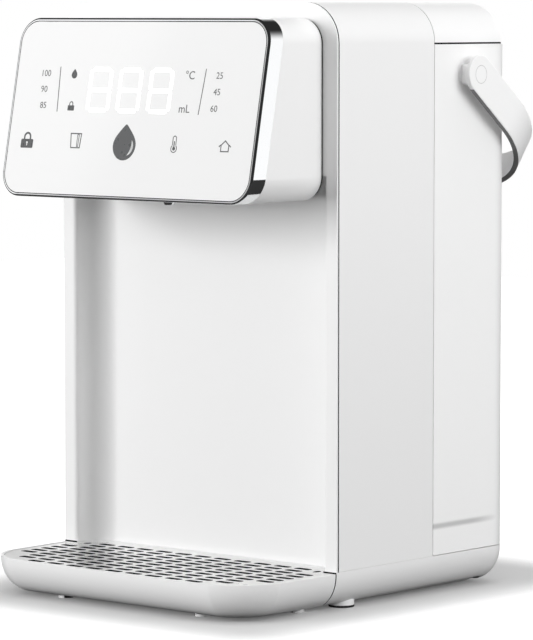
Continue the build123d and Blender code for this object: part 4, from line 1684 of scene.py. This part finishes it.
@dataclass
class ShadeLinings:
    """Thin dark linings of painted shade: in slots, the basin, joints and on the strap's lower edge.

    Attributes:
        shop: What makes and dresses the pieces.
        clearance: The gap from the surface that is lined, in millimetres.
        thickness: The lining's thickness.
        ledge: How far below the grille's plate the basin's lining stops.
        joint_side: How far from the middle the base's faces behind the tray's ends start.
        joint_depth: How far behind the frame's face they may lie.
        neck: The heights between which the lid's neck lies.
        strap_below: The direction that the handle's lower edge looks in.
        strap_start: How far behind the handle's axis the lining of that edge starts.
    """

    shop: Workshop
    clearance: float = 0.02
    thickness: float = 0.06
    ledge: float = 0.3
    joint_side: float = 87.5
    joint_depth: float = 0.5
    neck: tuple[float, float] = (291.9, 294.1)
    strap_below: tuple[float, float, float] = (0.0, -0.6, -0.8)
    strap_start: float = 2.0

    def lined(self, shape: bmesh.types.BMesh, kept: set[bmesh.types.BMFace]) -> bmesh.types.BMesh:
        """Turns some faces of a shape into a thin solid that lines them.

        Args:
            shape: The merged copy of a CAD node, which is changed.
            kept: The faces that are lined.

        Returns:
            The lining.
        """
        dropped = [face for face in shape.faces if face not in kept]
        bmesh.ops.delete(shape, geom=dropped, context="FACES")
        shape.normal_update()
        steps = {}
        for vert in shape.verts:
            step = vert.normal.copy()
            vert.co += step * (self.clearance * MM)
            steps[tuple(vert.co)] = step * (self.thickness * MM)
        grown = bmesh.ops.extrude_face_region(shape, geom=list(shape.faces), use_keep_orig=True)
        for vert in corners_of(grown):
            vert.co += steps[tuple(vert.co)]
        bmesh.ops.recalc_face_normals(shape, faces=shape.faces)
        return shape

    def slot_walls(self, shape: bmesh.types.BMesh) -> set[bmesh.types.BMFace]:
        """Gives the upright faces that close round a slot."""
        forms = self.shop.forms
        return {face for ring in forms.islands(shape) if forms.is_slot(ring) for face in ring}

    def seam_walls(self, shape: bmesh.types.BMesh) -> set[bmesh.types.BMFace]:
        """Gives the shell's front rim, which shows in the seam behind the frame."""
        return {face for face in shape.faces if face.normal.y < -0.95}

    def joint_walls(self, shape: bmesh.types.BMesh) -> set[bmesh.types.BMFace]:
        """Gives the base's two narrow faces behind the tray's ends.

        Args:
            shape: The merged copy of the piece.

        Returns:
            The faces.
        """
        side = self.joint_side * MM
        back = (self.shop.forms.face + self.joint_depth) * MM
        return {
            face for face in shape.faces
            if face.normal.y < -0.7 and abs(face.calc_center_median().x) > side
            and face.calc_center_median().y < back
        }

    def neck_walls(self, shape: bmesh.types.BMesh) -> set[bmesh.types.BMFace]:
        """Gives the lid's neck, which shows in the joint over the tank's rim.

        Args:
            shape: The merged copy of the piece.

        Returns:
            The faces.
        """
        low, high = (height * MM for height in self.neck)
        return {
            face for face in shape.faces
            if abs(face.normal.z) < 0.3 and all(low < vert.co.z < high for vert in face.verts)
        }

    def strap_walls(self, shape: bmesh.types.BMesh) -> set[bmesh.types.BMFace]:
        """Gives the faces along the lower edge of the handle's strap.

        Args:
            shape: The merged copy of the piece.

        Returns:
            The faces.
        """
        below = Vector(self.strap_below)
        start = (self.shop.forms.pivot[0] + self.strap_start) * MM
        return {
            face for face in shape.faces
            if abs(face.normal.x) < 0.2 and face.normal.dot(below) > 0.75
            and face.calc_center_median().y > start
        }

    def basin_walls(self, shape: bmesh.types.BMesh) -> set[bmesh.types.BMFace]:
        """Gives the faces of the tray that look up or inwards below the grille.

        Args:
            shape: The merged copy of the piece.

        Returns:
            The faces.
        """
        low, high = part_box("drip_tray")
        centre = (low + high) / 2
        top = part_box("drip_grille")[0].z - self.ledge * MM
        walls = set()
        for face in shape.faces:
            middle = face.calc_center_median()
            inwards = Vector((centre.x - middle.x, centre.y - middle.y, 0.0))
            if middle.z < top and face.normal.z > -0.1:
                if face.normal.z > 0.1 or face.normal.dot(inwards) > 0:
                    walls.add(face)
        return walls

    def build(self) -> None:
        """Builds the linings of painted shade."""
        # Each lining is a dark sheet of painted shade on faces that lie in shade: the slot walls, the
        # tray's basin, the joints round the tray and the lid, the seam behind the frame and the strap's
        # lower edge
        for name, node, walls, finish, slot, body in (
            ("grille_slot_painted_shade", "drip_grille", self.slot_walls, SLOT_PAINTED_SHADE, Slot.GRILLE, "grille"),
            ("tray_basin_painted_shade", "drip_tray", self.basin_walls, FINISHES[Slot.BLACK], Slot.BLACK, "tray"),
            ("seam_painted_shade", "side_shell", self.seam_walls, FOAM_AND_GAP_SHADE, Slot.RUBBER, BODY),
            ("tray_joint_painted_shade", "base_tub", self.joint_walls, FOAM_AND_GAP_SHADE, Slot.RUBBER, BODY),
            ("lid_joint_painted_shade", "tank_lid", self.neck_walls, FOAM_AND_GAP_SHADE, Slot.RUBBER, "lid"),
            ("strap_edge_painted_shade", "carry_handle", self.strap_walls, STRAP_EDGE_SHADE, Slot.LID, "handle"),
        ):
            shape = self.shop.merged_copy(node)
            self.shop.piece(name, self.lined(shape, walls(shape)), finish, slot, body)


@dataclass
class HeadSeamShade:
    """A black strip of painted shade that shows as a thin line where the head meets the frame.

    Attributes:
        shop: What makes and dresses the pieces.
        section: Points of the strip's section in millimetres, in from the head's side and forwards
        from the frame.
        steps: The number of flats round a corner.
    """

    shop: Workshop
    section: tuple[tuple[float, float], ...] = ((0.8, 0.01), (0.8, 0.9), (2.9, 0.06), (2.9, 0.01))
    steps: int = 12

    def outline(self, inset: float, forwards: float) -> list[Vector]:
        """Gives the places round the head's outline.

        Args:
            inset: How far in from the head's side they lie.
            forwards: How far in front of the frame they lie.

        Returns:
            The places, against the clock as seen from behind.
        """
        forms = self.shop.forms
        low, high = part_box("head_housing")
        height = (high.z - low.z) * forms.head_growth
        radius = (forms.head_corner - inset) * MM
        reach_x = high.x - forms.head_corner * MM
        middle_z = high.z - height / 2
        reach_z = height / 2 - forms.head_corner * MM
        places = []
        for quarter, (side, end) in enumerate(((1, 1), (-1, 1), (-1, -1), (1, -1))):
            for step in range(self.steps + 1):
                angle = math.pi / 2 * (quarter + step / self.steps)
                across = side * reach_x + radius * math.cos(angle)
                up = middle_z + end * reach_z + radius * math.sin(angle)
                places.append(Vector((across, high.y - forwards * MM, up)))
        return places

    def build(self) -> None:
        """Builds the strip of painted shade."""
        shape = bmesh.new()
        rings = [[shape.verts.new(place) for place in self.outline(*corner)] for corner in self.section]
        count = len(rings[0])
        for ring, following in zip(rings, [*rings[1:], rings[0]]):
            for place in range(count):
                after = (place + 1) % count
                shape.faces.new((ring[place], ring[after], following[after], following[place]))
        bmesh.ops.recalc_face_normals(shape, faces=shape.faces)
        self.shop.piece("head_seam_shade", shape, FOAM_AND_GAP_SHADE, Slot.RUBBER)


@dataclass
class HandlePins:
    """The thin rings that show where the pins sit in the handle's ends.

    Attributes:
        shop: What makes and dresses the pieces.
        pivot: A point on the handle's axis.
        radius: The ring's inner radius, in millimetres.
        line: The ring's width.
        depth: How deep the ring lies in the strap.
        show: How far the ring stands out.
        segments: The number of flats round it.
    """

    shop: Workshop
    pivot: Vector
    radius: float = 4.6
    line: float = 0.35
    depth: float = 0.3
    show: float = 0.01
    segments: int = 48

    def build(self) -> None:
        """Builds a ring on each side of the handle."""
        low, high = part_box("carry_handle")
        for name, side, outer in (("pin_ring_left", -1, low.x), ("pin_ring_right", 1, high.x)):
            shape = bmesh.new()
            bmesh.ops.create_circle(shape, radius=self.radius * MM, segments=self.segments)
            rim = bmesh.ops.extrude_edge_only(shape, edges=list(shape.edges))
            share = (self.radius + self.line) / self.radius
            bmesh.ops.scale(shape, verts=corners_of(rim), vec=(share, share, 1))
            raised = bmesh.ops.extrude_face_region(shape, geom=list(shape.faces), use_keep_orig=True)
            bmesh.ops.translate(shape, verts=corners_of(raised), vec=(0, 0, self.depth * MM))
            bmesh.ops.recalc_face_normals(shape, faces=shape.faces)
            start = outer - side * (self.depth - self.show) * MM
            place = Matrix.Translation((start, self.pivot.y, self.pivot.z))
            turn = Matrix.Rotation(math.pi / 2 * side, 4, "Y")
            bmesh.ops.transform(shape, verts=shape.verts, matrix=place @ turn)
            self.shop.piece(name, shape, JOINT_LINE, Slot.LID, "handle")


@dataclass
class Insides:
    """The pieces that keep their CAD mesh and only get a finish.

    Attributes:
        shop: What makes and dresses the pieces.
    """

    shop: Workshop

    def build(self) -> None:
        """Dresses each CAD node that is still shown."""
        for name, node in sorted(self.shop.nodes.items()):
            if not node.hide_render:
                self.shop.dress(name)


@dataclass(frozen=True)
class Softbox:
    """A soft square lamp that looks at the object and isn't mirrored.

    Attributes:
        name: The lamp's name.
        place: Its place, in metres.
        side: The length of its sides, in metres.
        power: Its power, in watts.
    """

    name: str
    place: tuple[float, float, float]
    side: float
    power: float


@dataclass
class Studio:
    """The floor, the lights and the camera.

    Attributes:
        panel: The panel's face, whose soft reflection the surroundings are laid out for.
        camera_place: The camera's place, in millimetres.
        camera_turn: How far the camera looks to the left of straight ahead, in degrees.
        camera_tilt: How far it looks down, in degrees.
        camera_lens: The focal length.
        camera_side: The long side of the camera's sensor.
        floor_size: The side of the floor, in metres.
        floor_paper: The colour that the floor shows the camera.
        floor_dim: The colour that it throws up.
        floor_glow: The least light of the floor towards the camera, close to the object.
        footprint: Half of the object's width and depth on the floor, in metres.
        shadow_reach: How far from the object the floor's painted shade fades out, in metres.
        world_strength: The strength of the light from all round.
        sheen_edge: Two places on the panel, right and down in millimetres, on the edge of its sheen.
        sheen_side: A place on the panel that lies in the sheen.
        sheen_blur: Half of the sheen's soft edge, as a cosine.
        sheen_light: The strength of the sheen, on top of the wall's.
        wall_place: The place on the panel that mirrors the middle of the white wall in front.
        wall_cone: The angles from that middle at which the wall begins and is at its full strength.
        wall_light: The strength of the wall.
        rear_axis: The direction to the middle of the white wall at the rear.
        rear_span: The cosines from that middle between which the wall begins.
        rear_light: The strength of that wall.
        low_span: The cosines from straight down between which the wall ends.
        dark_light: The strength of the rest.
        aim: The place that the lamps look at, in metres.
        softboxes: The lamps.
    """

    panel: PanelFace
    camera_place: tuple[float, float, float] = (1359.07, -1576.57, 311.17)
    camera_turn: float = 40.78
    camera_tilt: float = 4.60
    camera_lens: float = 216.8
    camera_side: float = 36.0
    floor_size: float = 4.0
    floor_paper: str = "#CFCFCF"
    floor_dim: str = "#3C3C3C"
    floor_glow: float = 0.1
    footprint: tuple[float, float, float] = (0.097, 0.129, 0.0)
    shadow_reach: float = 0.075
    world_strength: float = 0.46
    sheen_edge: tuple[tuple[float, float], tuple[float, float]] = ((18.0, 2.0), (-30.8, 93.3))
    sheen_side: tuple[float, float] = (-70.0, 50.0)
    sheen_blur: float = 0.008
    sheen_light: float = 0.7
    wall_place: tuple[float, float] = (0.0, 47.0)
    wall_cone: tuple[float, float] = (24.0, 17.0)
    wall_light: float = 0.65
    rear_axis: tuple[float, float, float] = (0.1, 0.995, 0.0)
    rear_span: tuple[float, float] = (0.45, 0.6)
    rear_light: float = 1.25
    low_span: tuple[float, float] = (-0.6, -0.2)
    dark_light: float = 0.03
    aim: tuple[float, float, float] = (0.0, 0.0, 0.16)
    softboxes: tuple[Softbox, ...] = (
        Softbox("left_softbox", (-1.9, -3.2, 0.5), 2.2, 151.0),
        Softbox("right_softbox", (2.9, 0.5, 0.75), 2.4, 71.0),
        Softbox("fill_softbox", (1.6, -2.6, 0.4), 1.6, 15.0),
        Softbox("top_softbox", (0.1, 0.2, 2.4), 1.6, 12.0),
    )

    def add_camera(self) -> None:
        """Adds the camera at the photograph's viewing angle."""
        data = bpy.data.cameras.new("camera")
        data.lens = self.camera_lens
        data.sensor_width = self.camera_side
        camera = add_object("camera", data)
        camera.location = [value * MM for value in self.camera_place]
        tilt, turn = math.radians(90 - self.camera_tilt), math.radians(self.camera_turn)
        camera.rotation_euler = (tilt, 0.0, turn)
        bpy.context.scene.camera = camera

    def mirrored(self, right_mm: float, down_mm: float) -> Vector:
        """Gives the direction that the camera sees mirrored in a place on the panel.

        Args:
            right_mm: The place right of the panel's middle.
            down_mm: The place down the panel.

        Returns:
            The direction.
        """
        place = self.panel.placed(right_mm, down_mm).translation
        sight = (place - Vector(self.camera_place) * MM).normalized()
        return sight.reflect(self.panel.outwards)

    def sheen_axis(self) -> Vector:
        """Gives the axis that the directions on the brighter side of the panel's sheen lean to.

        Returns:
            The axis.
        """
        first, second = (self.mirrored(*place) for place in self.sheen_edge)
        axis = first.cross(second).normalized()
        brighter = self.mirrored(*self.sheen_side)
        return axis if axis.dot(brighter) > 0 else -axis

    def towards(
        self, tree: bpy.types.NodeTree, sight: bpy.types.NodeSocket, axis: Vector, start: float, end: float
    ) -> bpy.types.NodeSocket:
        """Gives a soft step in the surroundings.

        Args:
            tree: The world's node tree.
            sight: The direction that is looked in.
            axis: The axis that it is held against.
            start: The cosine at which the step begins, at 0.
            end: The cosine at which it ends, at 1.

        Returns:
            The step, from 0 to 1.
        """
        along = add_node(
            tree, "ShaderNodeVectorMath", {0: sight, 1: tuple(axis)}, operation="DOT_PRODUCT"
        )
        return soft_step(tree, along.outputs["Value"], start, end)

    def mirrored_light(self, tree: bpy.types.NodeTree) -> bpy.types.NodeSocket:
        """Gives the surroundings as chrome and glass mirror them: dark, with two white walls.

        Args:
            tree: The world's node tree.

        Returns:
            The strength of the light.
        """
        sight = add_node(tree, "ShaderNodeTexCoord").outputs["Generated"]
        centre = self.mirrored(*self.wall_place)
        begins, full = (math.cos(math.radians(angle)) for angle in self.wall_cone)
        wall = self.towards(tree, sight, centre, begins, full)
        sheen = self.towards(tree, sight, self.sheen_axis(), -self.sheen_blur, self.sheen_blur)
        wall_light = calculated(tree, "MULTIPLY_ADD", sheen, self.sheen_light, self.wall_light)
        rear = self.towards(tree, sight, Vector(self.rear_axis), *self.rear_span)
        low = self.towards(tree, sight, Vector((0.0, 0.0, -1.0)), *self.low_span)
        rear_wall = calculated(tree, "MULTIPLY", rear, low)
        dark = calculated(tree, "MULTIPLY_ADD", rear_wall, self.rear_light, self.dark_light)
        return calculated(tree, "MULTIPLY_ADD", wall, wall_light, dark)

    def add_floor(self) -> None:
        """Adds a white floor that keeps the soft shadow, is painted darker round the object where its glow
        is weaker, and throws little light up.
        """
        shape = bmesh.new()
        bmesh.ops.create_grid(shape, x_segments=1, y_segments=1, size=self.floor_size / 2)
        mesh = bpy.data.meshes.new("floor")
        shape.to_mesh(mesh)
        shape.free()
        floor = add_object("floor", mesh)
        material = bpy.data.materials.new("matt white backdrop paper")
        material.use_nodes = True
        tree = material.node_tree
        tree.nodes.clear()
        place = add_node(tree, "ShaderNodeTexCoord").outputs["Object"]
        even = add_node(tree, "ShaderNodeVectorMath", {0: place}, operation="ABSOLUTE")
        out = add_node(
            tree, "ShaderNodeVectorMath", {0: even.outputs[0], 1: self.footprint}, operation="SUBTRACT"
        )
        beside = add_node(tree, "ShaderNodeVectorMath", {0: out.outputs[0]}, operation="MAXIMUM")
        reach = add_node(tree, "ShaderNodeVectorMath", {0: beside.outputs[0]}, operation="LENGTH")
        # Painted shade: the glow is weakest over the footprint and full beyond the shadow's reach, so the
        # floor is darker round the object
        glow = soft_step(tree, reach.outputs["Value"], 0.0, self.shadow_reach, self.floor_glow)
        paper = add_node(tree, "ShaderNodeBsdfDiffuse", {"Color": linear(self.floor_paper)})
        light = add_node(tree, "ShaderNodeEmission", {"Color": linear("#FFFFFF"), "Strength": glow})
        lifted = add_node(tree, "ShaderNodeAddShader", {0: paper.outputs[0], 1: light.outputs[0]})
        dim = add_node(tree, "ShaderNodeBsdfDiffuse", {"Color": linear(self.floor_dim)})
        path = add_node(tree, "ShaderNodeLightPath")
        shown = add_node(
            tree, "ShaderNodeMixShader",
            {0: path.outputs["Is Camera Ray"], 1: dim.outputs[0], 2: lifted.outputs[0]},
        )
        add_node(tree, "ShaderNodeOutputMaterial", {"Surface": shown.outputs[0]})
        mesh.materials.append(material)

    def add_world(self) -> None:
        """Adds the surroundings: white behind, two white walls in mirrors and a little even light."""
        world = bpy.data.worlds.new("studio")
        bpy.context.scene.world = world
        world.use_nodes = True
        tree = world.node_tree
        tree.nodes.clear()
        white = linear("#FFFFFF")
        path = add_node(tree, "ShaderNodeLightPath")
        even = add_node(tree, "ShaderNodeBackground", {"Color": white, "Strength": self.world_strength})
        mirrored = self.mirrored_light(tree)
        mirror = add_node(tree, "ShaderNodeBackground", {"Color": white, "Strength": mirrored})
        behind = add_node(tree, "ShaderNodeBackground", {"Color": white, "Strength": 1.0})
        glossy = add_node(
            tree, "ShaderNodeMixShader",
            {0: path.outputs["Is Glossy Ray"], 1: even.outputs[0], 2: mirror.outputs[0]},
        )
        clear = calculated(
            tree, "MAXIMUM", path.outputs["Is Camera Ray"], path.outputs["Is Transmission Ray"]
        )
        shown = add_node(
            tree, "ShaderNodeMixShader", {0: clear, 1: glossy.outputs[0], 2: behind.outputs[0]}
        )
        add_node(tree, "ShaderNodeOutputWorld", {"Surface": shown.outputs[0]})

    def add_lamp(self, softbox: Softbox) -> None:
        """Adds a lamp that lights the object and doesn't show in mirrors.

        Args:
            softbox: The lamp's name, place, size and power.
        """
        data = bpy.data.lights.new(softbox.name, "AREA")
        data.shape = "RECTANGLE"
        data.size = data.size_y = softbox.side
        data.energy = softbox.power
        lamp = add_object(softbox.name, data)
        lamp.location = softbox.place
        lamp.visible_glossy = False
        sight = Vector(self.aim) - Vector(softbox.place)
        lamp.rotation_euler = sight.to_track_quat("-Z", "Y").to_euler()

    def build(self) -> None:
        """Builds the studio."""
        self.add_floor()
        self.add_world()
        for softbox in self.softboxes:
            self.add_lamp(softbox)
        self.add_camera()
        bpy.context.scene.view_settings.view_transform = "Standard"


def slots_of_nodes(record: dict) -> dict[str, str]:
    """Reads each CAD node's material slot from the record."""
    return {part["node"]: part["material_slot"] for part in record["subparts"]}


def main() -> None:
    """Builds the dispenser's looks and reports each piece."""
    logging.basicConfig(level=logging.INFO, format="%(name)s: %(message)s")
    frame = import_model()
    swing = next(joint for joint in frame["joints"] if joint["child"] == "handle")
    pivot = Vector(swing["pos_m"])
    forms = Forms((pivot.y / MM, pivot.z / MM))
    shop = Workshop(frame["nodes"], slots_of_nodes(frame["record"]), Palette(), forms)
    bezel = shop.merged_copy("bezel_ring")
    panel = PanelFace.from_bezel(bezel)
    bezel.free()
    Shell(shop, panel).build()
    ShadeLinings(shop).build()
    HeadSeamShade(shop).build()
    Screws(shop).build()
    GlassSeam(shop, panel).build()
    HandlePins(shop, pivot).build()
    ValveSpring(shop).build()
    PanelPrint(shop, panel).build()
    Insides(shop).build()
    Studio(panel).build()


if __name__ == "__main__":
    main()
